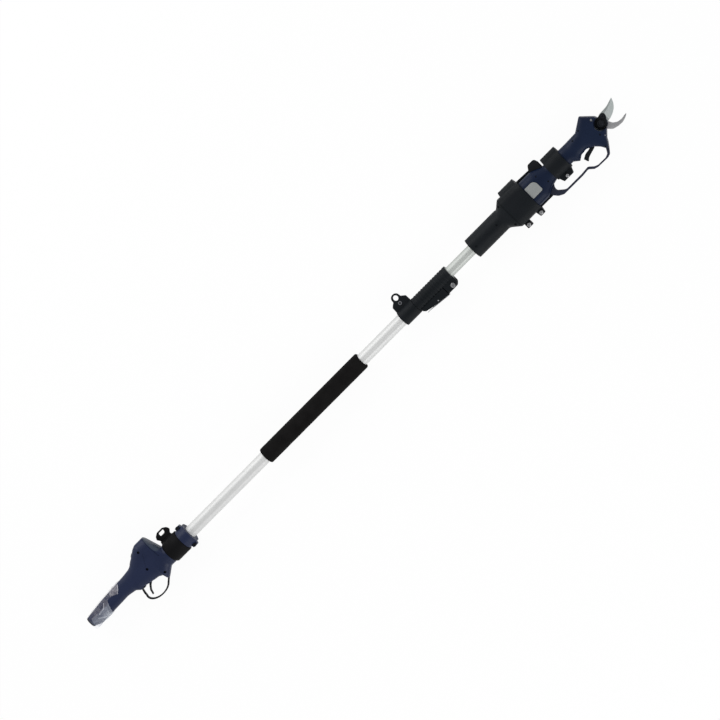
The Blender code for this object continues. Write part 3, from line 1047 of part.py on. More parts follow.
def make_blades():
    bx, by = BLADE_AXIS
    z = (GAP, GAP + BLADE_THICKNESS)
    pitch_angle = 2 * math.pi / SECTOR_TEETH_FULL
    first = math.pi - pitch_angle / 2
    flank = tooth_flank(SECTOR_TEETH_FULL, 0.75 * MODULE, 1.35 * MODULE, 0.0)
    root = flank[0][0]
    start = first - pitch_angle * 0.55
    end = first + pitch_angle * (SECTOR_TEETH - 0.45)
    sector = [(bx + root * math.cos(start), by + root * math.sin(start))]
    for tooth in range(SECTOR_TEETH):
        sector += tooth_points(bx, by, first + tooth * pitch_angle, flank)
    sector.append((bx + root * math.cos(end), by + root * math.sin(end)))

    tip = BLADE_TIP + 0.00055     # corner, before it is rounded back to the tip
    outline = rounded([(0.7480, -0.0108, 0.0), (0.7570, -0.0075, 0.02), (0.7670, -0.0015, 0.02),
                       (0.7745, 0.0075, 0.02), (tip, 0.0186, 0.0008), (0.7700, 0.0158, 0.03),
                       (0.7590, 0.0122, 0.03), (0.7370, 0.0112, 0.01)],
                      closed=False)
    outline += arc(bx, by, BLADE_HUB, 95, math.degrees(start) - 6, 5)
    outline += sector
    outline += arc(bx, by, BLADE_HUB, math.degrees(end) + 6, 318, 5)
    blade = piece("cutting_blade", prism(outline, *z), BLADE_STEEL, BLADE)
    cut(blade, rod(PIVOT_RADIUS + GAP, -0.001, 0.01, BLADE_AXIS, sides=20), "pivot_hole")
    cut(blade, rod(0.0018, -0.001, 0.01, LOCK_SCREW, sides=10), "lock_hole")

    hook = rounded([(0.7205, -0.0205, 0.003), (0.7262, -0.0220, 0.003), (0.7345, -0.0315, 0.012),
                    (0.7475, -0.0350, 0.02), (0.7600, -0.0356, 0.02), (0.7720, -0.0318, 0.02),
                    (BLADE_TIP, -0.0272, 0.0007), (0.7740, -0.0268, 0.01),
                    (0.7630, -0.0287, 0.02), (0.7520, -0.0272, 0.012), (0.7435, -0.0212, 0.010),
                    (0.7395, -0.0130, 0.010), (0.7365, -0.0020, 0.008), (0.7340, 0.0060, 0.006),
                    (0.7250, 0.0070, 0.006),
                    (0.7150, 0.0050, 0.006), (0.7080, -0.0020, 0.006), (0.7080, -0.0190, 0.003)])
    low = -GAP - BLADE_THICKNESS + 0.0003
    fixed = piece("hook_blade", prism(hook, low, 0.0), HOOK_STEEL, SLIDE)
    cut(fixed, rod(PIVOT_RADIUS + RUNNING, -0.01, 0.001, BLADE_AXIS, sides=20), "pivot_hole")

    px, py = pinion_place()
    gear_flank = tooth_flank(PINION_TEETH, 0.80 * MODULE, 1.10 * MODULE, 0.0)
    outline = []
    for tooth in range(PINION_TEETH):
        outline += tooth_points(px, py, 2 * math.pi * tooth / PINION_TEETH, gear_flank)
    gear = piece("drive_pinion", prism(outline, GAP, GAP + BLADE_THICKNESS), DARK_STEEL, PINION)
    join(gear, rod(0.0030, -0.0090, 0.001, (px, py), sides=12), "shaft")

    # Egg-shaped lock plate on the blade, which keeps the pivot's nut from turning
    sx, sy = LOCK_SCREW
    spread = math.degrees(math.acos((LOCK_RADIUS - 0.0085) / math.hypot(sx - bx, sy - by)))
    lean = math.degrees(math.atan2(sy - by, sx - bx))
    egg = arc(bx, by, LOCK_RADIUS, lean + spread, lean + 360 - spread, 16)
    egg += arc(sx, sy, 0.0085, lean - spread, lean + spread, 7)
    top = z[1] + GAP
    plate = piece("lock_plate", prism(egg, top, top + 0.0022), BLACK_PLASTIC, BLADE)
    cut(plate, rod(PIVOT_RADIUS + GAP, 0.0, 0.02, BLADE_AXIS, sides=20), "pivot_hole")
    cut(plate, rod(0.0018, 0.0, 0.02, LOCK_SCREW, sides=10), "lock_hole")
    seat = top + 0.0022 + GAP
    cap_bolt("lock_screw", sx, sy, 0.0010, seat, 0.0015, 0.0042, 0.0024, DARK_STEEL, BLADE)
    nut = piece("pivot_nut", rod(0.0085, seat, seat + 0.0045, BLADE_AXIS, sides=6), DARK_STEEL, BLADE)
    cut(nut, rod(PIVOT_RADIUS + GAP, 0.0, 0.03, BLADE_AXIS, sides=20), "bore")
    head = [(0.0, -0.0165), (0.0072, -0.0165), (0.0080, -0.0155), (0.0080, -0.0123), (PIVOT_RADIUS, -0.0123),
            (PIVOT_RADIUS, seat + 0.0052), (0.0, seat + 0.0056)]
    piece("pivot_bolt", turned(head, (bx, by, 0.0), sides=20), STEEL, BLADE)


clear_scene()

NAVY = material("navy_plastic", (0.024, 0.031, 0.085), 0.42)
DEEP_NAVY = material("deep_navy_plastic", (0.013, 0.018, 0.045), 0.40)
BLACK_PLASTIC = material("black_plastic", (0.013, 0.015, 0.017), 0.50)
GREY_PLASTIC = material("grey_plastic", (0.36, 0.37, 0.39), 0.50)
BLACK_RUBBER = material("black_rubber", (0.010, 0.010, 0.011), 0.80)
FOAM = material("foam", (0.010, 0.010, 0.010), 0.95)
ALUMINIUM = material("anodised_aluminium", (0.70, 0.72, 0.70), 0.32, 1.0)
STEEL = material("steel", (0.55, 0.55, 0.56), 0.30, 1.0)
DARK_STEEL = material("dark_steel", (0.06, 0.06, 0.065), 0.40, 1.0)
BLADE_STEEL = material("blade_steel", (0.42, 0.44, 0.42), 0.28, 1.0)
HOOK_STEEL = material("hook_steel", (0.32, 0.31, 0.32), 0.35, 1.0)
CLEAR_FILM = material("clear_film", (0.60, 0.63, 0.68), 0.15)
BOARD = material("circuit_board", (0.02, 0.12, 0.05), 0.50)

SPAN_X = (REAR_END + BLADE_TIP) / 2
SPAN_Y = (HUMP_TOP + LOOP_LOW) / 2
POLE = frame_at("POLE", -SPAN_X, -SPAN_Y, AXIS_HEIGHT)
SLIDE = frame_at("upper_tube_slide", UPPER_REAR, 0.0, parent=POLE)
LEVER = frame_at("clamp_lever_axis", *LEVER_AXIS, parent=POLE)
HARNESS = frame_at("harness_axis", RING_SEAT[0], 0.0, 0.0, EYE_TILT, parent=POLE)
POLE_TRIGGER = frame_at("pole_trigger_axis", *POLE_TRIGGER_AXIS, parent=POLE)
BUTTON = frame_at("power_button_axis", *slope_matrix(BUTTON_PLACE).translation[:2], parent=POLE)
COVER = frame_at("cradle_cover_axis", COVER_HINGE[0], COVER_HINGE_Y, parent=SLIDE)
BAND_DOOR = frame_at("band_door_axis", BAND[0], BAND_HINGE_Y, parent=SLIDE)
PRUNER_TRIGGER = frame_at("pruner_trigger_axis", *PRUNER_TRIGGER_AXIS, parent=SLIDE)
BLADE = frame_at("blade_axis", *BLADE_AXIS, parent=SLIDE)
PINION = frame_at("pinion_axis", *pinion_place(), parent=SLIDE)

make_tubes()
make_strap_ring()
make_clamp()
make_handle()
make_harness()
make_cradle()
make_pruner_casing()
make_pruner_fittings()
make_drive()
make_blades()
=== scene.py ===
"""Looks of a cordless pruner held in a cradle on a telescopic pole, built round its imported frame.

Lengths are metres. Pieces are modelled in the pole's own frame: X runs along the pole towards the
blades, +Y is the spine side with the hinges, and +Z faces whoever looks at the display. Each is then
moved to where the pole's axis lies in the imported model.
"""

import math
from functools import partial

import bmesh
import bpy
from mathutils import Matrix, Vector, noise


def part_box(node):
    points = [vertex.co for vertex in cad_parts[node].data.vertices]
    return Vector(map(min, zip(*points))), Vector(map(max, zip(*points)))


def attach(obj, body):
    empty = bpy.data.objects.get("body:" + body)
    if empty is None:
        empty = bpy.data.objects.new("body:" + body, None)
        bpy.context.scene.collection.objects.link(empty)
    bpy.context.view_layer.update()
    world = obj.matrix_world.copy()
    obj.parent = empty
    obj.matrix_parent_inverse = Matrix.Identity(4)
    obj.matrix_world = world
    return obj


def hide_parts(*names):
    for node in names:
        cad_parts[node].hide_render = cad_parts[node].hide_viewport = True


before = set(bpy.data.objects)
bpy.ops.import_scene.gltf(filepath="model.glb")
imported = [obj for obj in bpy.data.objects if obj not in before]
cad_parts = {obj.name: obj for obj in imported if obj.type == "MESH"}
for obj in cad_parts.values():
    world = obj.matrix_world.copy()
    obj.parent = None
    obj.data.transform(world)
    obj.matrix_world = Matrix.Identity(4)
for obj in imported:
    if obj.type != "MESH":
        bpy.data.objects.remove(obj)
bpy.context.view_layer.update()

# The pole's axis, from the foam grip that sits round it
FOAM_REAR = -0.297
FOAM_FRONT = 0.003
foam_low, foam_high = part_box("foam_grip")
POLE_AXIS = Vector((foam_high.x - FOAM_FRONT, (foam_low.y + foam_high.y) / 2, (foam_low.z + foam_high.z) / 2))

# Clearances between pieces
GAP = 0.0003
PARTING = 0.0003
RUNNING = 0.0004
CRADLE_CLEAR = 0.001

# What both triggers turn on
TRIGGER_PIN_HOLE = 0.0018
TRIGGER_PIN_SEAT = 0.0036
TRIGGER_BORE = 0.0019

# Tubes and grip
LOWER_RADIUS = 0.014
UPPER_RADIUS = 0.0122
TUBE_WALL = 0.0012
GROOVE_DEPTH = 0.0004
GROOVE_ANGLE = math.radians(100)
GROOVE_HALF_WIDTH = math.radians(17)
FOAM_RADIUS = 0.02
FOAM_ROUND_END = 0.0035

# Clamp and strap ring
STRAP = (0.1292, 0.1714)
STRAP_RADIUS = 0.0183
STRAP_EYE_Y = 0.0422
STRAP_BOLT_Y = 0.028
EYE_RADIUS = 0.01
EYE_BORE = 0.006
CLAMP = (0.172, 0.2722)
CLAMP_RADIUS = 0.0176
CLAMP_RIBS = 14
RIB_DEPTH = 0.0008
BUSH_RADIUS = 0.0152
LEVER_AXIS = (0.26, -0.0252)
LEVER_HALF_WIDTH = 0.012
LEVER_NECK = 0.0069
LEVER_PIN_RADIUS = 0.003

# Lower handle
REAR_END = -0.84
HANDLE_REAR = -0.837
END_SOCKET_Y = 0.01125
NECK_END = -0.537
HANDLE_WALL = 0.0024
FILM_WRAP = -0.783
FILM_FLAP = -0.737
NECK_RADIUS = 0.0203
RING_SEAT = (-0.604, -0.5606)
RING_RADIUS = 0.0265
EYE_TILT = math.radians(-14)
TRIGGER_AXIS = (-0.674, -0.009)
HANDLE_SCREWS = [(-0.6478, 0.049), (-0.6595, 0.0095), (-0.6365, -0.0222)]
COLLAR_SCREWS = [(-0.5492, 0.0258), (-0.5482, -0.0258)]
HUMP_FOOT = Vector((-0.692, 0.039, 0))
HUMP_SHOULDER = Vector((-0.656, 0.063, 0))
BUTTON_PLACE = 0.0289
LENS_PLACE = 0.0139

# Cradle and band
SOCKET_REAR = 0.344
SOCKET_RADIUS = 0.0245
SOCKET_BORE = 0.02
SOCKET_BORE_END = 0.441
COVER_REAR = 0.456
COVER_FRONT = 0.5126
TRAY_FRONT = 0.545
AXIS_HEIGHT = 0.033
COVER_HINGE = (0.4655, 0.508)
COVER_BOLTS = [(0.4668, -0.0485), (0.5035, -0.0485)]
SOCKET_SCREWS = [(0.4485, 0.0245), (0.4485, -0.0285)]
SOCKET_SCREW_DEPTH = 0.003
GRUB_SCREWS = [(0.356, -0.002), (0.4193, -0.0004)]
GRUB_WELL = (0.0024, 0.0026)
BAND = (0.5785, 0.619)
BAND_WALL = 0.0036
BAND_BOLT = (0.598, -0.0327)
HINGE_PIN_RADIUS = 0.002

# Pruner
PRUNER_REAR = 0.458
PRUNER_FRONT = 0.727
PRUNER_WALL = 0.0026
BLADE_AXIS = (0.725, -0.005)
BLADE_THICKNESS = 0.004
PIVOT_RADIUS = 0.0048
LOCK_RADIUS = 0.0135
LOCK_PLATE = 0.0022
LOCK_SCREW = (0.7385, 0.0035)
LOCK_SHANK = 0.0015
HEAD_SCREW = (0.717, 0.0146)
CASE_SCREWS = [(0.5505, 0.0134), (0.5618, -0.0125), (0.6576, 0.0115), (0.6812, 0.0178), (0.699, -0.046),
               (0.7085, -0.0204)]
CASE_WELL = (0.0018, 0.002)
PRUNER_TRIGGER_AXIS = (0.684, -0.0205)
DISPLAY_FLOOR = 0.0264


# Materials
def fill(tree, socket, value):
    """Puts a number, a colour or another node's output into an input."""
    if isinstance(value, bpy.types.NodeSocket):
        tree.links.new(value, socket)
    else:
        socket.default_value = (*value, 1) if socket.type == "RGBA" else value


def fill_all(tree, node, inputs):
    """Fills a node's inputs, given by name with _ for a space."""
    for name, value in inputs.items():
        fill(tree, node.inputs[name.replace("_", " ")], value)


def add(tree, kind, output, settings=(), **inputs):
    """A new node, known by one of its outputs."""
    node = tree.nodes.new("ShaderNode" + kind)
    for name, value in settings:
        setattr(node, name, value)
    fill_all(tree, node, inputs)
    return node.outputs[output]


def maths(tree, operation, *values):
    node = tree.nodes.new("ShaderNodeMath")
    node.operation = operation
    for socket, value in zip(node.inputs, values):
        fill(tree, socket, value)
    return node.outputs["Value"]


def place_in(tree, stretch=(1, 1, 1)):
    return add(tree, "Mapping", "Vector", Vector=add(tree, "TexCoord", "Object"), Scale=stretch)


def grains(tree, size, detail=3, stretch=(1, 1, 1)):
    """A noise whose grains are about this size in metres, longer along the axes with a small stretch."""
    return add(tree, "TexNoise", "Fac", Vector=place_in(tree, stretch), Scale=1 / size, Detail=detail)


def spread(tree, value, low, high, dark=0, light=1):
    """A value from low to high spread to the range from dark to light."""
    return add(tree, "MapRange", "Result", Value=value, From_Min=low, From_Max=high, To_Min=dark,
               To_Max=light)


def blend(tree, factor, first, second):
    return add(tree, "Mix", "Result", [("data_type", "RGBA")], Factor=factor, A=first, B=second)


def bump(tree, height, depth, **under):
    return add(tree, "Bump", "Normal", Distance=depth, Strength=1, Height=height, **under)


def tinted(colour, share, lift=0):
    return tuple(min(1, c * share + lift) for c in colour)


def blank(name):
    """A new material and its nodes."""
    made = bpy.data.materials.new(name)
    made.use_nodes = True
    return made, made.node_tree


def shade(made, **inputs):
    """Fills the inputs of a material's main shader."""
    fill_all(made.node_tree, made.node_tree.nodes["Principled BSDF"], inputs)
    return made


def moulded_plastic(name, colour, pale, roughness, specular=0.12, depth=0.00004, coat=0, coat_roughness=0.32,
                    grain=0.0005):
    """Injection-moulded plastic: a fine spark-eroded grain, faint flow marks and handling shine."""
    made, tree = blank(name)
    flow = spread(tree, grains(tree, 0.035, 4, (0.4, 1, 1)), 0.35, 0.65)
    dust = spread(tree, grains(tree, 0.0022, 2), 0.62, 0.8, 0, 0.1)
    shine = spread(tree, grains(tree, 0.018), 0.3, 0.7, roughness - 0.05, roughness + 0.07)
    return shade(made, Base_Color=blend(tree, dust, blend(tree, flow, colour, pale), tinted(pale, 1.8, 0.01)),
                 Roughness=shine, Normal=bump(tree, grains(tree, grain, 1.5), depth),
                 Specular_IOR_Level=specular, Coat_Weight=coat, Coat_Roughness=coat_roughness)


def metal(name, colour, pale, roughness, stretch=(1, 1, 1), depth=0.00001, spots=0, uneven=0.05, metallic=1):
    """Metal with fine marks along its grinding or drawing direction."""
    made, tree = blank(name)
    marks = grains(tree, 0.0007, 3, stretch)
    look = blend(tree, spread(tree, marks, 0.3, 0.7), colour, pale)
    cloud = spread(tree, grains(tree, 0.03), 0.35, 0.7, 0, 0.25)
    look = blend(tree, cloud, look, tinted(colour, 0.86))
    if spots:
        stain = spread(tree, grains(tree, 0.0045, 4), 0.6, 0.75, 0, spots)
        look = blend(tree, stain, look, tinted(colour, 0.55))
    shine = spread(tree, marks, 0.25, 0.75, roughness - uneven, roughness + uneven)
    return shade(made, Base_Color=look, Metallic=metallic, Roughness=shine, Normal=bump(tree, marks, depth))


def foam_rubber(name, colour, pale):
    """Closed-cell foam: small pores, painted darker as painted shade inside them, in a dull, slightly dusty
    skin.
    """
    made, tree = blank(name)
    pores = add(tree, "TexVoronoi", "Distance", Vector=place_in(tree), Scale=1 / 0.0016)
    look = blend(tree, spread(tree, grains(tree, 0.022, 4), 0.35, 0.65), colour, pale)
    # Painted shade: the pores darken towards their middles
    look = blend(tree, spread(tree, pores, 0.05, 0.3, 0.75, 0), look, tinted(colour, 0.3))
    skin = bump(tree, grains(tree, 0.0006), 0.00012)
    skin = bump(tree, spread(tree, pores, 0.05, 0.4), 0.00018, Normal=skin)
    return shade(made, Base_Color=look, Normal=skin, Roughness=0.95, Specular_IOR_Level=0.08)


def cling_film(name):
    """Thin clear film, hazy where the piece's own attribute says that it is doubled, and whiter along its
    creases, where the attribute carries painted highlight.
    """
    made, tree = blank(name)
    haze_and_highlight = [("attribute_name", "haze_and_highlight")]
    folds = grains(tree, 0.012, 5, (0.7, 1.6, 1.6))
    tone = spread(tree, grains(tree, 0.004, 4), 0.3, 0.7, 0, 0.35)
    colour, alpha = (add(tree, "Attribute", output, haze_and_highlight) for output in ("Color", "Alpha"))
    return shade(made, Base_Color=blend(tree, tone, colour, (0.86, 0.88, 0.92)),
                 Alpha=maths(tree, "MULTIPLY", alpha, spread(tree, folds, 0.3, 0.7, 0.75, 1.25)),
                 Normal=bump(tree, folds, 0.0006), Roughness=0.25)


def dark_lens(name):
    """Smoked clear plastic with a faint inner grain."""
    made, tree = blank(name)
    tone = spread(tree, grains(tree, 0.003, 2), 0.3, 0.7)
    return shade(made, Base_Color=blend(tree, tone, (0.03, 0.034, 0.045), (0.045, 0.05, 0.062)),
                 Roughness=0.12, Coat_Weight=0.6)


# Colour, paler colour, roughness, specular level, depth of the grain, coat, its roughness and grain size
PLASTICS = {
    "navy_plastic": ((0.0092, 0.0152, 0.044), (0.013, 0.02, 0.0545), 0.46, 0.12, 0.00002, 0.14),
    # Paler navy for the hump's front face: a separate panel behind its seam, whose paler colour is painted
    # sheen
    "navy_plastic_painted_sheen": ((0.03, 0.042, 0.066), (0.038, 0.052, 0.078), 0.4, 0.12, 0.00002, 0.2),
    "deep_navy_plastic": ((0.0012, 0.0064, 0.026), (0.0032, 0.01, 0.033), 0.42, 0.04, 0.00002, 0.28, 0.52),
    "charcoal_plastic": ((0.016, 0.019, 0.0365), (0.021, 0.025, 0.045), 0.48, 0.12, 0.00002, 0.14),
    "black_plastic": ((0.0058, 0.0075, 0.0095), (0.0085, 0.0105, 0.013), 0.52, 0.1),
    "dull_black_plastic": ((0.0038, 0.0038, 0.0044), (0.0058, 0.0058, 0.0065), 0.6, 0.06),
    "grey_plastic": ((0.272, 0.286, 0.282), (0.34, 0.346, 0.342), 0.5),
    "black_rubber": ((0.0075, 0.008, 0.0095), (0.011, 0.012, 0.0135), 0.78, 0.12, 0.0001, 0, 0.32, 0.0012),
    "circuit_board": ((0.014, 0.1, 0.045), (0.02, 0.13, 0.06), 0.4)}

# Colour, paler colour, roughness, how the marks run, their depth, spots, uneven shine and metallic share
DRAWN, TURNED = (0.02, 1, 1), (0.3, 1, 1)
METALS = {
    "anodised_aluminium": ((0.65, 0.654, 0.65), (0.675, 0.679, 0.675), 0.5, DRAWN, 0.000002, 0, 0.02, 0.25),
    # A darker copy of the anodised aluminium for the upper tube: painted shade, the same metal as the lower
    # tube
    "aluminium_painted_shade": ((0.48, 0.5, 0.48), (0.505, 0.525, 0.505), 0.56, DRAWN, 0.000002, 0, 0.02, 0.5),
    "steel": ((0.4, 0.4, 0.41), (0.5, 0.5, 0.51), 0.34, TURNED),
    "dull_steel": ((0.28, 0.28, 0.285), (0.37, 0.37, 0.38), 0.42, TURNED),
    "worn_steel": ((0.16, 0.162, 0.175), (0.215, 0.218, 0.235), 0.46, TURNED),
    "dark_steel": ((0.018, 0.02, 0.024), (0.03, 0.033, 0.038), 0.46),
    "blade_steel": ((0.5, 0.54, 0.525), (0.6, 0.64, 0.625), 0.34, (1, 0.06, 1), 0.00002, 0.25),
    "ground_steel": ((0.84, 0.91, 0.88), (0.93, 0.97, 0.95), 0.3, (1, 0.06, 1), 0.00002, 0.12),
    "hook_steel": ((0.46, 0.455, 0.46), (0.57, 0.565, 0.57), 0.36, (1, 0.08, 1), 0.00002, 0.35)}

FINISHES = {name: moulded_plastic(name, *values) for name, values in PLASTICS.items()}
FINISHES.update({name: metal(name, *values) for name, values in METALS.items()})
FINISHES["foam"] = foam_rubber("foam", (0.0058, 0.0054, 0.0054), (0.0088, 0.0083, 0.0083))
FINISHES["clear_film"] = cling_film("clear_film")
FINISHES["smoked_lens"] = dark_lens("smoked_lens")


# Modelling
# Turns what was drawn in X and Y to face along X, drawn in Y and Z
FACING_X = Matrix(((0, 0, 1, 0), (1, 0, 0, 0), (0, 1, 0, 0), (0, 0, 0, 1)))
CORNERS = ((-1, -1), (1, -1), (1, 1), (-1, 1))


def bevel(bm, geom, offset, segments, affect="EDGES"):
    bmesh.ops.bevel(bm, geom=geom, offset=offset, offset_type="OFFSET", segments=segments, profile=0.5,
                    affect=affect, clamp_overlap=affect == "EDGES", material=-1)


def outward(bm):
    bmesh.ops.recalc_face_normals(bm, faces=bm.faces)
    return bm


def slab(corners, low, high, edge=0, segments=5, along="Z"):
    """A flat outline of (x, y) or (x, y, radius) corners, rounded and extruded, with rounded rims."""
    bm = bmesh.new()
    verts = [bm.verts.new((*corner[:2], low)) for corner in corners]
    bm.faces.new(verts)
    for vert, corner in zip(verts, corners):
        if len(corner) > 2:
            sides = [line.other_vert(vert).co - vert.co for line in vert.link_edges]
            reach = corner[2] / math.tan(sides[0].angle(sides[1]) / 2)
            bevel(bm, [vert], min(reach, *(side.length * 0.48 for side in sides)), segments, "VERTICES")
    grown = bmesh.ops.extrude_face_region(bm, geom=bm.faces[:])
    top = [item for item in grown["geom"] if isinstance(item, bmesh.types.BMVert)]
    bmesh.ops.translate(bm, vec=(0, 0, high - low), verts=top)
    outward(bm)
    if edge:
        bevel(bm, [e for e in bm.edges if abs(e.verts[0].co.z - e.verts[1].co.z) < 1e-7], edge, 3)
    if along == "X":
        bmesh.ops.transform(bm, matrix=FACING_X, verts=bm.verts)
    return bm


def block(x, y, z, edge=0):
    """A box from three pairs of limits."""
    return slab([(x[0], y[0]), (x[1], y[0]), (x[1], y[1]), (x[0], y[1])], z[0], z[1], edge)


def spun(profile, at=(0, 0), along="Z", sides=48):
    """A profile of (radius, level) points turned round an axis. It is closed at the axis or as a ring."""
    bm = bmesh.new()
    if along == "X":
        centre, axis, out = Vector((0, *at)), Vector((1, 0, 0)), Vector((0, 1, 0))
    else:
        centre, axis, out = Vector((*at, 0)), Vector((0, 0, 1)), Vector((1, 0, 0))
    line = [bm.verts.new(centre + out * radius + axis * level) for radius, level in profile]
    edges = [bm.edges.new(pair) for pair in zip(line, line[1:])]
    if profile[0][0] > 0:
        edges.append(bm.edges.new((line[-1], line[0])))
    bmesh.ops.spin(bm, geom=line + edges, cent=centre, axis=axis, angle=2 * math.pi, steps=sides,
                   use_merge=True)
    bmesh.ops.remove_doubles(bm, verts=bm.verts, dist=1e-6)
    return outward(bm)


def rod(radius, low, high, at=(0, 0), along="Z", sides=32, edge=0):
    rim = [(radius, low), (radius, high)]
    if edge:
        rim = [(radius - edge, low), (radius, low + edge), (radius, high - edge), (radius - edge, high)]
    return spun([(0, low), *rim, (0, high)], at, along, sides)


def sleeve(inner, outer, low, high, edge, sides=64):
    """A plain ring along X with its outer rims rounded over."""
    most = edge * 0.3
    return spun([(inner, low), (outer - edge, low), (outer - most, low + most), (outer, low + edge),
                 (outer, high - edge), (outer - most, high - most), (outer - edge, high), (inner, high)],
                along="X", sides=sides)


def ribbon(path, width):
    """The outline of a strip of even width along an open path."""
    points = [Vector(point) for point in path]
    left, right = [], []
    for index, here in enumerate(points):
        ahead = points[min(index + 1, len(points) - 1)] - points[max(index - 1, 0)]
        side = Vector((-ahead.y, ahead.x)).normalized() * (width / 2)
        left.append(tuple(here + side))
        right.append(tuple(here - side))
    return left + right[::-1]


def arc(centre, radius, start, end, count):
    angles = [math.radians(start + (end - start) * i / count) for i in range(count + 1)]
    return [(centre[0] + radius * math.cos(a), centre[1] + radius * math.sin(a)) for a in angles]


def sided(side, near, far):
    """A pair of limits on the front or the back of the parting plane."""
    return sorted((side * near, side * far))


def distance_to(path, x, y):
    """Distance in plan from an open path."""
    here = Vector((x, y))
    best = 1
    for first, second in zip(path, path[1:]):
        first, along = Vector(first[:2]), Vector(second[:2]) - Vector(first[:2])
        share = min(1, max(0, (here - first).dot(along) / along.length_squared))
        best = min(best, (here - first - along * share).length)
    return best


def drawn_out(bm, marks):
    """Draws a ring of edges out along X through each of the marks, and gives the last ring."""
    rim = bm.edges[:]
    for vert in bm.verts:
        vert.co.x = marks[0]
    for mark in marks[1:]:
        grown = bmesh.ops.extrude_edge_only(bm, edges=rim)["geom"]
        rim = [item for item in grown if isinstance(item, bmesh.types.BMEdge)]
        for item in grown:
            if isinstance(item, bmesh.types.BMVert):
                item.co.x = mark
    return rim


def stand(name, data):
    """An object of the scene."""
    obj = bpy.data.objects.new(name, data)
    bpy.context.scene.collection.objects.link(obj)
    return obj


def loose(name, bm):
    """An object from a bmesh, without looks or a place on a body yet."""
    mesh = bpy.data.meshes.new(name)
    bm.to_mesh(mesh)
    bm.free()
    return stand(name, mesh)


def discard(obj):
    mesh = obj.data
    bpy.data.objects.remove(obj)
    bpy.data.meshes.remove(mesh)


def settle(obj):
    """Applies an object's modifiers to its mesh."""
    bpy.context.view_layer.update()
    worn = obj.data
    mesh = bpy.data.meshes.new_from_object(obj.evaluated_get(bpy.context.evaluated_depsgraph_get()))
    obj.modifiers.clear()
    obj.data = mesh
    bpy.data.meshes.remove(worn)


def thicken(obj, thickness, offset):
    wall = obj.modifiers.new("wall", "SOLIDIFY")
    wall.thickness = thickness
    wall.offset = offset
    settle(obj)


def combine(operation, obj, *parts):
    """Cuts an object by each of several bmeshes, joins it with them or keeps what they share."""
    tools = [loose(f"{obj.name}_tool", part) for part in parts]
    for tool in tools:
        step = obj.modifiers.new("step", "BOOLEAN")
        step.operation = operation
        step.solver = "MANIFOLD"
        step.object = tool
    settle(obj)
    for tool in tools:
        discard(tool)


cut, join, keep = (partial(combine, operation) for operation in ("DIFFERENCE", "UNION", "INTERSECT"))


def finished(obj, finish, body, nodes=(), slot=None, crease=38):
    """Gives a modelled object its finish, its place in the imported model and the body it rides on."""
    mesh = obj.data
    mesh.transform(Matrix.Translation(POLE_AXIS))
    mesh.materials.clear()
    mesh.materials.append(FINISHES[finish])
    mesh.shade_smooth()
    mesh.set_sharp_from_angle(angle=math.radians(crease))
    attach(obj, body)
    if nodes:
        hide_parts(*([nodes] if isinstance(nodes, str) else nodes))
    return obj


def piece(name, bm, *looks, joins=(), cuts=(), **more):
    """Builds a piece from a bmesh, what is joined with it and then what it is cut by, and finishes it."""
    obj = loose(name, bm)
    for step, parts in ((join, joins), (cut, cuts)):
        if parts:
            step(obj, *parts)
    return finished(obj, *looks, **more)


def refaced(obj, finish, chosen):
    """Gives the faces that are chosen by their centre, in the pole's frame, and normal another finish."""
    obj.data.materials.append(FINISHES[finish])
    for face in obj.data.polygons:
        if chosen(face.center - POLE_AXIS, face.normal):
            face.material_index = 1


# Moulded casings
SIDES = {"front": 1, "back": -1}


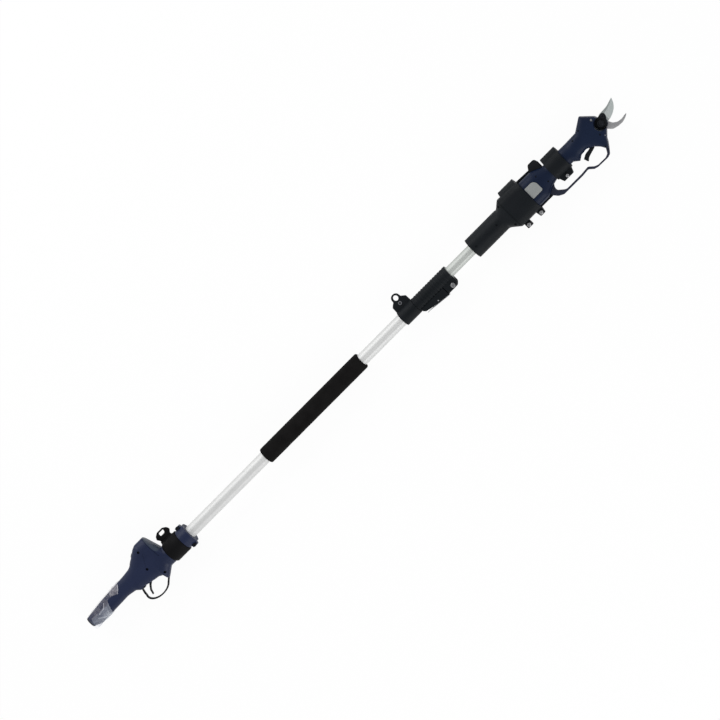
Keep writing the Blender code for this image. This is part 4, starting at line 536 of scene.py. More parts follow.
class Form:
    """A casing's outer form: top, bottom and half-width outlines along X, with superellipse sections."""

    def __init__(self, top, bottom, half, square):
        self.lines = [self.corners(line) for line in (top, bottom, half, square)]

    @staticmethod
    def corners(line):
        """Each corner as its place, the change of slope there and how far its rounding reaches."""
        made = []
        for index, (x, y, *radius) in enumerate(line):
            change = reach = 0
            if 0 < index < len(line) - 1 and radius:
                before, after = line[index - 1], line[index + 1]
                slopes = [(y - before[1]) / (x - before[0]), (after[1] - y) / (after[0] - x)]
                turn = abs(math.atan(slopes[1]) - math.atan(slopes[0]))
                change = slopes[1] - slopes[0]
                reach = min(radius[0] * math.tan(turn / 2), 0.49 * (x - before[0]), 0.49 * (after[0] - x))
            made.append((x, y, change, reach))
        return made

    @staticmethod
    def value(line, x):
        """Height of an outline at x, its corners eased into curves."""
        for first, second in zip(line, line[1:]):
            if x <= second[0] or second is line[-1]:
                share = min(1, max(0, (x - first[0]) / (second[0] - first[0])))
                height = first[1] + (second[1] - first[1]) * share
                for corner in (first, second):
                    inside = corner[3] - abs(x - corner[0])
                    if inside > 0:
                        height += corner[2] * inside * inside / (4 * corner[3])
                return height

    def stations(self, start, end, step):
        count = math.ceil((end - start) / step)
        marks = {start, end} | {start + (end - start) * i / count for i in range(count + 1)}
        for x, _, _, reach in sum(self.lines, []):
            marks |= {x + reach * share for share in (-1, -0.5, 0, 0.5, 1)}
        kept = []
        for mark in sorted(m for m in marks if start <= m <= end):
            if not kept or mark - kept[-1] > 0.00014:
                kept.append(mark)
        kept[-1] = end
        return kept

    def section(self, x, grow=0):
        top, bottom, half, power = (self.value(line, x) for line in self.lines)
        return top + grow, bottom - grow, half + grow, power

    def skin(self, x, y):
        """Height of the surface over the parting plane."""
        top, bottom, half, power = self.section(x)
        share = abs(y - (top + bottom) / 2) / ((top - bottom) / 2)
        return half * max(0, 1 - share ** power) ** (1 / power)

    def body(self, start, end, grow=0, around=64, step=0.0025):
        """The closed solid between two stations: a disc drawn out along X, then shaped ring by ring."""
        bm = bmesh.new()
        bmesh.ops.create_circle(bm, cap_ends=True, segments=around, radius=1, matrix=FACING_X)
        marks = self.stations(start, end, step)
        bmesh.ops.contextual_create(bm, geom=drawn_out(bm, marks))
        sections = {mark: self.section(mark, grow) for mark in marks}
        for vert in bm.verts:
            mark = min(marks, key=lambda m: abs(m - vert.co.x))
            top, bottom, half, power = sections[mark]
            reach = math.hypot(vert.co.y, vert.co.z)
            c, s = vert.co.y / reach, vert.co.z / reach
            vert.co.y = (top + bottom) / 2 + (top - bottom) / 2 * math.copysign(abs(c) ** (2 / power), c)
            vert.co.z = half * math.copysign(abs(s) ** (2 / power), s)
        return outward(bm)

    def half_body(self, start, end, side, grow=0, around=64, step=0.0025):
        """One half of the solid on +Z or -Z, with the edge at the parting line rounded."""
        bm = self.body(start, end, grow, around, step)
        plane = side * PARTING / 2
        bmesh.ops.bisect_plane(bm, geom=bm.verts[:] + bm.edges[:] + bm.faces[:], dist=1e-7,
                               plane_co=(0, 0, plane), plane_no=(0, 0, side), clear_inner=True)
        bmesh.ops.contextual_create(bm, geom=[e for e in bm.edges if e.is_boundary])
        outward(bm)
        bevel(bm, [e for e in bm.edges if all(abs(v.co.z - plane) < 1e-6 for v in e.verts)], 0.00025, 2)
        return bm


NECK = [(-0.6066, 0.0227), (RING_SEAT[0], 0.0227), (RING_SEAT[0] + 0.0003, NECK_RADIUS),
        (RING_SEAT[1] - 0.0003, NECK_RADIUS), (RING_SEAT[1], 0.024), (NECK_END, 0.024)]
HANDLE = Form(
    top=[(REAR_END, 0.027), (-0.79, 0.0324, 0.3), (-0.715, 0.0364, 0.08), (*HUMP_FOOT.xy, 0.03),
         (*HUMP_SHOULDER.xy, 0.012), (-0.647, 0.0668, 0.006), (-0.6215, 0.0668, 0.003),
         (-0.6085, 0.025, 0.002)] + NECK,
    bottom=[(REAR_END, 0.0025), (-0.821, -0.0043, 0.01), (-0.79, -0.0037, 0.3), (-0.737, -0.0022, 0.05),
            (-0.715, -0.006, 0.01), (-0.706, -0.014, 0.004), (-0.696, -0.0128, 0.01), (-0.669, -0.018, 0.02),
            (-0.656, -0.02, 0.006), (-0.6462, -0.0256, 0.006), (-0.643, -0.0385, 0.001),
            (-0.62, -0.0225, 0.008)] + [(x, -r) for x, r in NECK],
    half=[(REAR_END, 0.016), (-0.74, 0.017, 0.1), (-0.7, 0.0195, 0.1), (-0.665, 0.0215, 0.1),
          (-0.62, 0.0222)] + NECK,
    square=[(REAR_END, 2.6), (-0.7, 2.8), (-0.64, 3.2), (-0.62, 2.6), (-0.607, 2), (NECK_END, 2)])

PRUNER = Form(
    top=[(PRUNER_REAR, 0.0293), (0.548, 0.0293, 0.02), (0.574, 0.019, 0.015), (0.64, 0.0184),
         (0.6718, 0.0192), (0.6745, 0.0208), (0.7022, 0.0386, 0.0015), (0.7247, 0.0166, 0.003),
         (PRUNER_FRONT, 0.0125)],
    bottom=[(PRUNER_REAR, -0.0375), (0.54, -0.0375, 0.02), (0.562, -0.0258, 0.012), (0.58, -0.0215, 0.02),
            (0.627, -0.0211, 0.004), (0.6385, -0.0302, 0.0015), (0.649, -0.023, 0.004),
            (0.666, -0.0215, 0.01), (0.681, -0.0294, 0.02), (0.6914, -0.04, 0.02), (0.697, -0.0505),
            (0.7003, -0.0548, 0.001), (0.709, -0.043), (0.713, -0.0355), (0.7255, -0.0225),
            (PRUNER_FRONT, -0.0205)],
    half=[(PRUNER_REAR, 0.028), (0.54, 0.028, 0.03), (0.572, 0.0192, 0.03), (0.64, 0.0186, 0.1),
          (0.672, 0.0195, 0.1), (0.69, 0.021, 0.1), (PRUNER_FRONT, 0.02)],
    square=[(PRUNER_REAR, 3.2), (0.545, 3), (0.575, 2.4), (0.645, 2.4), (0.68, 3.6), (0.7, 5),
            (PRUNER_FRONT, 6)])

CRADLE = Form(
    top=[(SOCKET_REAR, SOCKET_RADIUS), (0.433, SOCKET_RADIUS, 0.004), (0.437, SOCKET_RADIUS - 0.0012, 0.004),
         (0.441, SOCKET_RADIUS + 0.0012, 0.004), (0.455, 0.037, 0.006), (COVER_FRONT, 0.035),
         (TRAY_FRONT, 0.0338)],
    bottom=[(SOCKET_REAR, -SOCKET_RADIUS), (0.433, -SOCKET_RADIUS, 0.012), (0.455, -0.0415, 0.006),
            (TRAY_FRONT, -0.0415)],
    half=[(SOCKET_REAR, SOCKET_RADIUS), (0.43, SOCKET_RADIUS, 0.012), (0.452, 0.0331, 0.008),
          (TRAY_FRONT, 0.0331)],
    square=[(SOCKET_REAR, 2), (0.433, 2), (0.456, 3.6), (TRAY_FRONT, 3.6)])

FILM_FORM = Form(
    top=[(REAR_END, 0.028), (-0.79, 0.0336, 0.3), (-0.715, 0.0374)],
    bottom=[(REAR_END, -0.0045), (-0.79, -0.0037, 0.3), (-0.715, -0.001)],
    half=[(REAR_END, 0.016), (-0.74, 0.017, 0.1), (-0.7, 0.0195)],
    square=[(REAR_END, 2.6), (-0.7, 2.8)])


def scored(form, outline, depth, start, end):
    """A cutter that goes to an even depth below a form's front face, within an outline."""
    tool = loose("scored", slab(outline, 0, 0.05))
    cut(tool, form.body(start, end, -depth, 96, 0.002))
    bm = bmesh.new()
    bm.from_mesh(tool.data)
    discard(tool)
    return bm


# Fasteners
SCREW_SHANK = 0.0014
SCREW_HEAD = 0.0028
SCREW_HEAD_HEIGHT = 0.002
SCREW_BITE = 0.008
SCREW_BOSS = 0.0038
HEAD_DEPTH = 0.0045


def well_floor(form, place, head_depth):
    return form.skin(*place) - head_depth - SCREW_HEAD_HEIGHT


def screw_hole(form, place, head_depth, above):
    """A shank's hole and the well over it, which goes this far above the skin."""
    shank, head = SCREW_SHANK + GAP, SCREW_HEAD + GAP
    floor, top = well_floor(form, place, head_depth), form.skin(*place) + above
    return spun([(0, -0.001), (shank, -0.001), (shank, floor), (head, floor), (head, top), (0, top)],
                place, sides=32)


def shank_hole(place):
    return rod(SCREW_SHANK + GAP, -SCREW_BITE - GAP, 0.001, place, sides=20)


def sunk_screw(name, form, place, body, node, head_depth=HEAD_DEPTH):
    """A self-tapping screw at the bottom of its well, with a dished head and a hexagon socket."""
    seat = well_floor(form, place, head_depth) + GAP
    top = seat + SCREW_HEAD_HEIGHT
    profile = [(0, -SCREW_BITE), (SCREW_SHANK * 0.4, -SCREW_BITE), (SCREW_SHANK, -SCREW_BITE + 0.0015),
               (SCREW_SHANK, seat), (SCREW_HEAD, seat), (SCREW_HEAD, top - 0.0006),
               (SCREW_HEAD - 0.0006, top), (0, top)]
    piece(name, spun(profile, place, sides=28), "dark_steel", body, node,
          cuts=[rod(0.0013, top - 0.0012, top + 0.001, place, sides=6)])


def cap_bolt(name, place, tip, seat, shank, head, height, finish, body, node, slot=None):
    """A bolt along Z with a round, bevelled head and a hexagon socket in it."""
    top = seat + height
    edge = height * 0.18
    profile = [(0, tip), (shank * 0.75, tip), (shank, tip + shank * 0.3), (shank, seat), (head * 0.97, seat),
               (head, seat + edge * 0.4), (head, top - edge), (head - edge * 0.35, top - edge * 0.35),
               (head - edge, top), (0, top)]
    piece(name, spun(profile, place, sides=36), finish, body, node, slot,
          cuts=[rod(head * 0.52, top - height * 0.6, top + 0.001, place, sides=6)])


def flush_well(form, place, radius, depth):
    skin = form.skin(*place)
    return rod(radius, skin - depth, skin + 0.004, place, sides=28)


def flush_screws(name, form, places, radius, depth):
    """Small hexagon-socket screws at the bottom of shallow wells."""
    for number, place in enumerate(places, 1):
        floor = form.skin(*place) - depth
        screw = rod(radius - 0.0002, floor - 0.0002, floor + depth * 0.5, place, sides=24, edge=0.0002)
        piece(f"{name}_{number}", screw, "dark_steel", "head",
              cuts=[rod(radius * 0.5, floor + 0.0003, floor + depth, place, sides=6)])


# Tubes and grip
def grooved_tube(name, radius, rear, front, finish, body, node):
    """Drawn tube with a rolled groove that keeps one tube from turning in the other."""
    bm = bmesh.new()
    bmesh.ops.create_circle(bm, cap_ends=False, segments=144, radius=radius, matrix=FACING_X)
    for vert in bm.verts:
        away = math.atan2(vert.co.z, vert.co.y) - GROOVE_ANGLE
        away = (away + math.pi) % (2 * math.pi) - math.pi
        dent = GROOVE_DEPTH * 0.5 * (1 + math.cos(math.pi * min(1, abs(away) / GROOVE_HALF_WIDTH)))
        vert.co.yz = vert.co.yz * (1 - dent / radius)
    drawn_out(bm, (rear, rear + 0.0005, front - 0.0005, front))
    tube = loose(name, outward(bm))
    thicken(tube, TUBE_WALL, -1)
    finished(tube, finish, body, node, "anodised_aluminium")


def make_tubes():
    grooved_tube("lower_pole", LOWER_RADIUS, -0.604, 0.204, "anodised_aluminium", "pole", "lower_tube")
    # The upper tube takes the darker copy of the aluminium, painted shade
    grooved_tube("upper_pole", UPPER_RADIUS, -0.52, 0.436, "aluminium_painted_shade", "head", "upper_tube")


def make_grip():
    """Foam sleeve: rounded ends and a slightly uneven skin."""
    inner, low, high = FOAM_RADIUS - FOAM_ROUND_END, FOAM_REAR + FOAM_ROUND_END, FOAM_FRONT - FOAM_ROUND_END
    profile = [(LOWER_RADIUS + GAP, FOAM_REAR), *arc((inner, low), FOAM_ROUND_END, -90, 0, 6)]
    profile += [(FOAM_RADIUS, low + (high - low) * step / 120) for step in range(1, 120)]
    profile += [*arc((inner, high), FOAM_ROUND_END, 0, 90, 6), (LOWER_RADIUS + GAP, FOAM_FRONT)]
    bm = spun(profile, along="X", sides=96)
    for vert in bm.verts:
        radius = math.hypot(vert.co.y, vert.co.z)
        if radius > LOWER_RADIUS + 0.001:
            wave = noise.noise(vert.co * 45) * 0.00018 + noise.noise(vert.co * 260) * 0.0001 - 0.00022
            vert.co.yz = vert.co.yz * (1 + wave / radius)
    grip = piece("foam_sleeve", bm, "foam", "pole", "foam_grip", crease=60)


# Strap ring and clamp
def make_strap_ring():
    """Split ring whose two ears make the eye plate for a shoulder strap."""
    rear, front = STRAP
    middle = (rear + front) / 2
    eye = (middle + 0.0004, STRAP_EYE_Y)
    bolt = (middle, STRAP_BOLT_Y)
    ring = loose("shoulder_strap_ring", sleeve(LOWER_RADIUS + GAP, STRAP_RADIUS, rear, front, 0.001, 72))
    reach, waist = EYE_RADIUS + 0.0006, STRAP_EYE_Y - 0.0037
    ears = [(front - 0.0005, 0.0155), (front - 0.0012, 0.0315, 0.003), (front - 0.0068, 0.036, 0.003),
            (eye[0] + reach, waist, 0.003), *arc(eye, EYE_RADIUS, 0, 180, 28), (eye[0] - reach, waist, 0.003),
            (rear + 0.0068, 0.036, 0.003), (rear + 0.0016, 0.0315, 0.003), (rear + 0.0008, 0.0155)]
    join(ring, slab(ears, -0.004, 0.004, 0.0009))
    cut(ring, block((rear - 0.001, front + 0.001), (0.01, 0.0555), (-0.0005, 0.0005)))
    join(ring, block((eye[0] - 0.003, eye[0] + 0.003), (eye[1] + 0.0066, eye[1] + 0.0086), (-0.001, 0.001)))
    flare = [(0, -0.006), (EYE_BORE + 0.002, -0.006), (EYE_BORE + 0.0008, -0.004),
             (EYE_BORE + 0.0002, -0.0034), (EYE_BORE, -0.0025)]
    flare += [(radius, -level) for radius, level in flare[::-1]]
    cut(ring, spun(flare, eye), rod(0.0024 + GAP, -0.006, 0.006, bolt))
    finished(ring, "black_plastic", "pole", "strap_ring")
    head = 0.004 + GAP
    hollow = 0.0019
    rivet = [(hollow, -head - 0.0009), (0.0036, -head - 0.001), (0.0042, -head - 0.0004),
             (0.0042, -head), (0.0024, -head), (0.0024, head), (0.0044, head), (0.0044, head + 0.0005),
             (0.0038, head + 0.0012), (0.0024, head + 0.0012), (hollow, head + 0.0007)]
    piece("strap_rivet", spun(rivet, bolt, sides=40), "worn_steel", "pole", "strap_bolt", "steel")
    # A black plug fills the rivet's bore: painted shade where the bore would be dark
    piece("strap_rivet_shade_plug", rod(hollow - 0.00005, -head, head - 0.0004, bolt), "black_rubber", "pole")


# One rib and groove of the clamp, as shares of the rib's depth and of the pitch
RIB = [(0, 0.46), (0.4, 0.54), (1, 0.62), (1, 0.84), (0.4, 0.92), (0, 1)]


def make_clamp():
    """Ribbed clamp body with its cam lever."""
    low, high = CLAMP
    pitch = (high - low) / CLAMP_RIBS
    profile = [(0, low), (CLAMP_RADIUS - 0.0004, low), (CLAMP_RADIUS, low + 0.0004)]
    profile += [(CLAMP_RADIUS - RIB_DEPTH * deep, low + rib * pitch + pitch * share)
                for rib in range(CLAMP_RIBS - 1) for deep, share in RIB]
    profile += [(CLAMP_RADIUS, high - 0.0006), (CLAMP_RADIUS - 0.0006, high), (0, high)]
    ax, ay = LEVER_AXIS
    ear = ax - 0.019
    fork = [(ear, -0.008), (ear, -0.031, 0.002), (ax + 0.005, ay - 0.0068, 0.006), (high, ay + 0.0005, 0.006),
            (high, -0.008)]
    slot = LEVER_NECK + RUNNING
    pin_hole = [LEVER_PIN_RADIUS + RUNNING, -0.02, 0.02, LEVER_AXIS]
    web = (0.2043, 0.2055)
    steps = [(LOWER_RADIUS + GAP, low - 0.01, web[0]), (UPPER_RADIUS + 2 * GAP, *web),
             (BUSH_RADIUS + GAP, web[1], high + 0.01)]
    bore = [(0, low - 0.01), *[(radius, x) for radius, *ends in steps for x in ends], (0, high + 0.01)]
    piece("clamp_housing", spun(profile, along="X", sides=64), "black_plastic", "pole", "clamp_body",
          joins=[slab(fork, -LEVER_HALF_WIDTH, LEVER_HALF_WIDTH, 0.0008)],
          cuts=[block((ear - 0.001, high + 0.001), (-0.04, -CLAMP_RADIUS - 0.0004), (-slot, slot)),
                spun(bore, along="X"), block((ax - 0.0101, ax + 0.0096), (-0.019, -0.013), (-slot, slot)),
                rod(*pin_hole)])
    piece("split_bush", sleeve(UPPER_RADIUS + GAP, BUSH_RADIUS, web[1] + GAP, high - GAP, 0.0004),
          "grey_plastic", "pole", "clamp_bush", cuts=[block((web[1], high), (0.008, 0.02), (-0.001, 0.001))])

    front, rear = ear - 0.0014, low + 0.002
    outline = [(rear, -0.0125), (rear, -0.019, 0.003), (rear + 0.005, -0.0242, 0.004),
               (rear + 0.0215, -0.0278, 0.006), (rear + 0.033, -0.0298, 0.006), (front, -0.0332, 0.001),
               (front, -0.0125)]
    lever = loose("cam_lever", slab(outline, -LEVER_HALF_WIDTH, LEVER_HALF_WIDTH, 0.0012))
    cut(lever, rod(CLAMP_RADIUS + 0.0007, low - 0.01, front + 0.01, along="X", sides=72))
    neck = [(front - 0.006, -0.0215), (ax - 0.006, -0.0215, 0.002), (ax - 0.0045, ay + 0.0096, 0.002),
            (ax + 0.003, ay + 0.0096, 0.002), *arc(LEVER_AXIS, 0.0068, 30, -90, 14),
            (front - 0.006, ay - 0.0068)]
    join(lever, slab(neck, -LEVER_NECK, LEVER_NECK, 0.0005))
    cut(lever, block((rear + 0.007, front - 0.01), (-0.04, -0.0225), (-0.0085, 0.0085)), rod(*pin_hole))
    finished(lever, "black_plastic", "clamp", "clamp_lever")
    cap_bolt("lever_pivot", LEVER_AXIS, -LEVER_HALF_WIDTH - 0.001, LEVER_HALF_WIDTH + GAP,
             LEVER_PIN_RADIUS, 0.0052, 0.0028, "dull_steel", "pole", "lever_pin", "steel")
    under = [(rear + 0.0055, -0.0287), (rear + 0.011, -0.0283), (rear + 0.0215, -0.0294),
             (rear + 0.033, -0.0309), (front, -0.0342)]
    piece("lever_spring_strip", slab(ribbon(under, 0.0012), -0.008, 0.008, 0.0003), "dull_steel", "clamp",
          "lever_strip", "steel")
    piece("lever_rivet", rod(0.0016, 0.01, LEVER_HALF_WIDTH + 0.0004, (0.214, -0.026), sides=24, edge=0.0002),
          "steel", "clamp")


# Lower handle
def on_slope(bm, place):
    """Moves a shape to the hump's rear slope: X along it, Y across the handle and Z straight out."""
    along = (HUMP_SHOULDER - HUMP_FOOT).normalized()
    out = Vector((-along.y, along.x, 0))
    columns = [along, out.cross(along), out, HUMP_FOOT + along * place]
    matrix = Matrix([[*(column[row] for column in columns)] for row in range(3)] + [[0, 0, 0, 1]])
    bmesh.ops.transform(bm, matrix=matrix, verts=bm.verts)
    return bm


def handle_lug(x, y, side):
    outline = [(x - 0.0072, y * 0.6), (x - 0.0062, y * 1.14, 0.003), (x + 0.0062, y * 1.14, 0.003),
               (x + 0.0072, y * 0.6)]
    return slab(outline if y > 0 else outline[::-1], *sided(side, PARTING, 0.0075), 0.0005)


# Where the grip's flank meets the hump, and the seam behind the hump's front face
FLANK_CREASE = [(-0.6435, 0.04), (-0.648, 0.03), (-0.656, 0.0185), (-0.663, 0.011)]
FACE_SEAM = [(-0.6228, 0.064), (-0.622, 0.045), (-0.6205, 0.026), (-0.619, 0.012)]


def on_hump_face(place, normal):
    return place.x > -0.6222 + 0.07 * (0.064 - place.y) and place.y > 0.022 and normal.x > 0.15


def make_handle_shells():
    tx = TRIGGER_AXIS[0]
    for name, side in SIDES.items():
        shell = loose(f"handle_casing_{name}", HANDLE.half_body(HANDLE_REAR, NECK_END, side, 0, 96, 0.002))
        cut(shell, HANDLE.body(HANDLE_REAR - 0.008, -0.61, -HANDLE_WALL, 40, 0.005))
        bosses = [rod(SCREW_BOSS, *sided(side, PARTING, HANDLE.skin(*place) - 0.0013), place, sides=28)
                  for place in HANDLE_SCREWS]
        lugs = [handle_lug(x, y, side) for x, y in COLLAR_SCREWS]
        seat = rod(TRIGGER_PIN_SEAT, *sided(side, 0.0084, 0.0151), TRIGGER_AXIS, sides=24)
        cut(shell, block((tx - 0.015, tx + 0.006), (-0.026, -0.0105), (-0.0058, 0.0058)))
        join(shell, *bosses, *lugs, seat)
        cuts = [rod(LOWER_RADIUS + GAP, -0.6043, NECK_END + 0.002, along="X", sides=64),
                rod(0.011, -0.612, -0.603, along="X", sides=40),
                on_slope(rod(0.0054, -0.006, 0.005), BUTTON_PLACE),
                on_slope(block((-0.0063, 0.0063), (-0.0073, 0.0073), (-0.0019, 0.004)), LENS_PLACE),
                rod(TRIGGER_PIN_HOLE, -0.0142, 0.0142, TRIGGER_AXIS, sides=20)]
        cuts += [rod(SCREW_SHANK + GAP, -0.02, 0.02, place, sides=20) for place in COLLAR_SCREWS]
        if side > 0:
            cuts += [screw_hole(HANDLE, place, HEAD_DEPTH, 0.004) for place in HANDLE_SCREWS]
            cuts += [scored(HANDLE, ribbon(FLANK_CREASE, 0.0016), 0.0004, -0.7, -0.63),
                     scored(HANDLE, ribbon(FACE_SEAM, 0.0014), 0.0012, -0.64, -0.61)]
        else:
            cuts += [shank_hole(place) for place in HANDLE_SCREWS]
        cut(shell, *cuts)
        finished(shell, "navy_plastic", "pole", f"handle_shell_{name}")
        # The hump's front face, a separate panel, gets the paler navy: painted sheen
        refaced(shell, "navy_plastic_painted_sheen", on_hump_face)


def make_handle_fittings():
    tx, ty = TRIGGER_AXIS
    piece("guard_rear_pin", rod(0.003, -0.0066, 0.0066, (-0.697, -0.0124), sides=28, edge=0.0003),
          "black_plastic", "pole")
    socket = [(0.003, -0.001), (0.0072, -0.001), (0.007, 0.0005), (0.007, 0.006), (0.003, 0.006)]
    piece("end_cap", HANDLE.body(REAR_END, HANDLE_REAR - GAP, -0.0002), "black_plastic", "pole",
          "handle_end_cap",
          joins=[HANDLE.body(HANDLE_REAR - 0.001, HANDLE_REAR + 0.007, -HANDLE_WALL - 2 * GAP, 40)],
          cuts=[spun([(radius, REAR_END + level) for radius, level in socket], (END_SOCKET_Y, 0), "X")])

    for number, place in enumerate(HANDLE_SCREWS, 1):
        sunk_screw(f"casing_screw_{number}", HANDLE, place, "pole", f"handle_screw_{number}")
    for word, place in zip(("top", "bottom"), COLLAR_SCREWS):
        cap_bolt(f"collar_bolt_{word}", place, -0.009, 0.0075 + GAP, SCREW_SHANK, 0.0042, 0.003, "dark_steel",
                 "pole", f"collar_screw_{word}")

    path = [(-0.7005, -0.008), (-0.7042, -0.015), (-0.7062, -0.0225)]
    path += [(-0.6779 + 0.0299 * math.cos(a), -0.0345 + 0.0182 * math.sin(a))
             for a in map(math.radians, range(165, 331, 5))]
    path.append((-0.641, -0.0345))
    piece("finger_guard", slab(ribbon(path, 0.0033), -0.0046, 0.0046, 0.0012), "black_plastic", "pole",
          "trigger_guard", cuts=[HANDLE.body(-0.725, -0.625, GAP, 48, 0.004)])

    outline = [(tx + 0.004, ty), (tx - 0.002, -0.0155, 0.01), (tx - 0.0102, -0.021, 0.01),
               (tx - 0.0169, -0.0288, 0.01), (tx - 0.0199, -0.0388, 0.0008), (tx - 0.0216, -0.0384, 0.0008),
               (tx - 0.0188, -0.027, 0.01), (tx - 0.0125, -0.0188, 0.01), (tx - 0.004, ty)]
    piece("finger_trigger", slab(outline, -0.005, 0.005, 0.0011), "black_plastic", "trigger_lever",
          "pole_trigger", joins=[rod(0.0042, -0.005, 0.005, TRIGGER_AXIS)],
          cuts=[rod(TRIGGER_BORE, -0.01, 0.01, TRIGGER_AXIS, sides=24)])

    rise = 0.0012
    flange = -HANDLE_WALL - 0.0017
    profile = [(0, flange - 0.0016), (0.0062, flange - 0.0016), (0.0062, flange), (0.005, flange),
               (0.005, rise - 0.0005), (0.0048, rise - 0.0001), (0.0044, rise), (0.0036, rise - 0.0001),
               (0.0018, rise - 0.0006), (0, rise - 0.0007)]
    piece("push_button", on_slope(spun(profile, sides=40), BUTTON_PLACE), "black_plastic", "button",
          "power_button")
    corners = [(x * 0.006, y * 0.007, 0.001) for x, y in CORNERS]
    piece("battery_level_lens", on_slope(slab(corners, -0.0016, 0.0001, 0.0002), LENS_PLACE),
          "smoked_lens", "pole", "indicator_lens", "clear_film")


# The film's creases: their course in X and Y, how far the haze reaches and how strong it is. The haze along
# them is painted highlight, and they also lift the film.
FILM_CREASES_AND_HIGHLIGHTS = [
    ([(-0.8095, 0.0137), (-0.7938, 0.0164), (-0.786, 0.0236)], 0.002, 0.34),
    ([(-0.8184, 0.0094), (-0.8028, -0.0005)], 0.0022, 0.26),
    ([(-0.7765, 0.0222), (-0.7866, -0.0036)], 0.0014, 0.16),
    ([(-0.796, -0.0036), (-0.7893, 0.0094)], 0.0022, 0.14),
    ([(-0.7475, 0.0177), (-0.7419, 0.0214), (-0.7352, 0.0291), (-0.7335, 0.032)], 0.0015, 0.55),
    ([(-0.764, 0.025), (-0.756, 0.033)], 0.0016, 0.22),
    ([(-0.83, 0.018), (-0.812, 0.017)], 0.0016, 0.16)]
FILM_FLAP_OUTLINE = [
    (-0.778, 0.0205), (-0.774, 0.0226), (-0.762, 0.0236), (-0.7475, 0.0174), (-0.7405, 0.0222),
    (-0.7345, 0.029), (-0.733, 0.032), (-0.733, 0.045), (-0.778, 0.045)]


def eased(value, low, high):
    """0 below low, 1 above high and a smooth rise between them."""
    share = min(1, max(0, (value - low) / (high - low)))
    return share * share * (3 - 2 * share)


def inside(outline, x, y):
    crossed = False
    for first, second in zip(outline, outline[1:] + outline[:1]):
        if (first[1] > y) != (second[1] > y):
            crossed ^= x < first[0] + (y - first[1]) * (second[0] - first[0]) / (second[1] - first[1])
    return crossed


def film_covers(x, y):
    """The film ends in a slanting edge, with a loose flap along the spine."""
    slant = FILM_WRAP - 0.0036 + 0.43 * (y + 0.0036) + 0.0003 * math.sin(y * 900)
    return x < slant or inside(FILM_FLAP_OUTLINE, x, y)


def film_look(place):
    """Colour and haze of the film at a place on the grip, with painted highlight along its creases."""
    x, y = place.x, place.y
    low_band = 1 - eased(y, 0.014, 0.0195)
    haze_and_highlight = 0.06 + 0.1 * low_band
    haze_and_highlight += 0.3 * low_band * max(0, 1 - abs(x + 0.799) / 0.024) * max(0, 1 - (y + 0.0045) / 0.013)
    haze_and_highlight *= 0.25 + 0.75 * eased(x + 0.22 * (0.012 - y), -0.8345, -0.8315)
    flap = eased(x, -0.764, -0.758)
    haze_and_highlight += 0.12 * flap
    # Painted highlight: whiter, denser haze along each crease
    for path, reach, strength in FILM_CREASES_AND_HIGHLIGHTS:
        haze_and_highlight += strength * max(0, 1 - distance_to(path, x, y) / reach) ** 1.5
    haze_and_highlight += 0.06 * noise.noise(place * 90) + 0.04 * noise.noise(place * 260)
    warm = max(flap, 1 - low_band) * 0.8
    cool = Vector((0.46, 0.51, 0.66)).lerp(Vector((0.86, 0.89, 0.93)), min(1, max(0, haze_and_highlight * 1.3)))
    colour = cool.lerp(Vector((0.56, 0.51, 0.54)), warm * (1 - min(1, max(0, haze_and_highlight - 0.2) * 2)))
    return (*colour, min(0.85, max(0.03, haze_and_highlight)))


def film_lump(here):
    """How far the film stands off the grip, in folds, fine crinkles and creases."""
    ridge = 1 - abs(noise.noise(Vector((here.x * 60 + here.y * 38, here.y * 70, here.z * 70)))) * 2.6
    fine = 1 - abs(noise.noise(here * 260)) * 2.4
    crease = max(max(0, 1 - distance_to(path, here.x, here.y) / reach) for path, reach, _ in FILM_CREASES_AND_HIGHLIGHTS)
    return 0.0009 * max(0, ridge) ** 3 + 0.00012 * max(0, fine) + 0.0005 * crease


def make_film():
    """Clear film still wrapped round the grip, crinkled, with a loose flap along the spine."""
    bm = FILM_FORM.body(REAR_END + 0.0002, FILM_FLAP + 0.004, 0.0007, 144, 0.0009)
    bmesh.ops.delete(bm, geom=[face for face in bm.faces if len(face.verts) > 4], context="FACES")
    beyond = [face for face in bm.faces if not film_covers(*face.calc_center_median().xy)]
    bmesh.ops.delete(bm, geom=beyond, context="FACES")
    bmesh.ops.delete(bm, geom=[vert for vert in bm.verts if not vert.link_faces], context="VERTS")
    lumps = [film_lump(vert.co) for vert in bm.verts]
    bm.normal_update()
    looks = bm.verts.layers.float_color.new("haze_and_highlight")
    for vert, lump in zip(bm.verts, lumps):
        vert[looks] = film_look(vert.co)
        vert.co += vert.normal * lump
    film = loose("wrap_film", bm)
    thicken(film, 0.00006, 1)
    finished(film, "clear_film", "pole", "film_sleeve", crease=70)


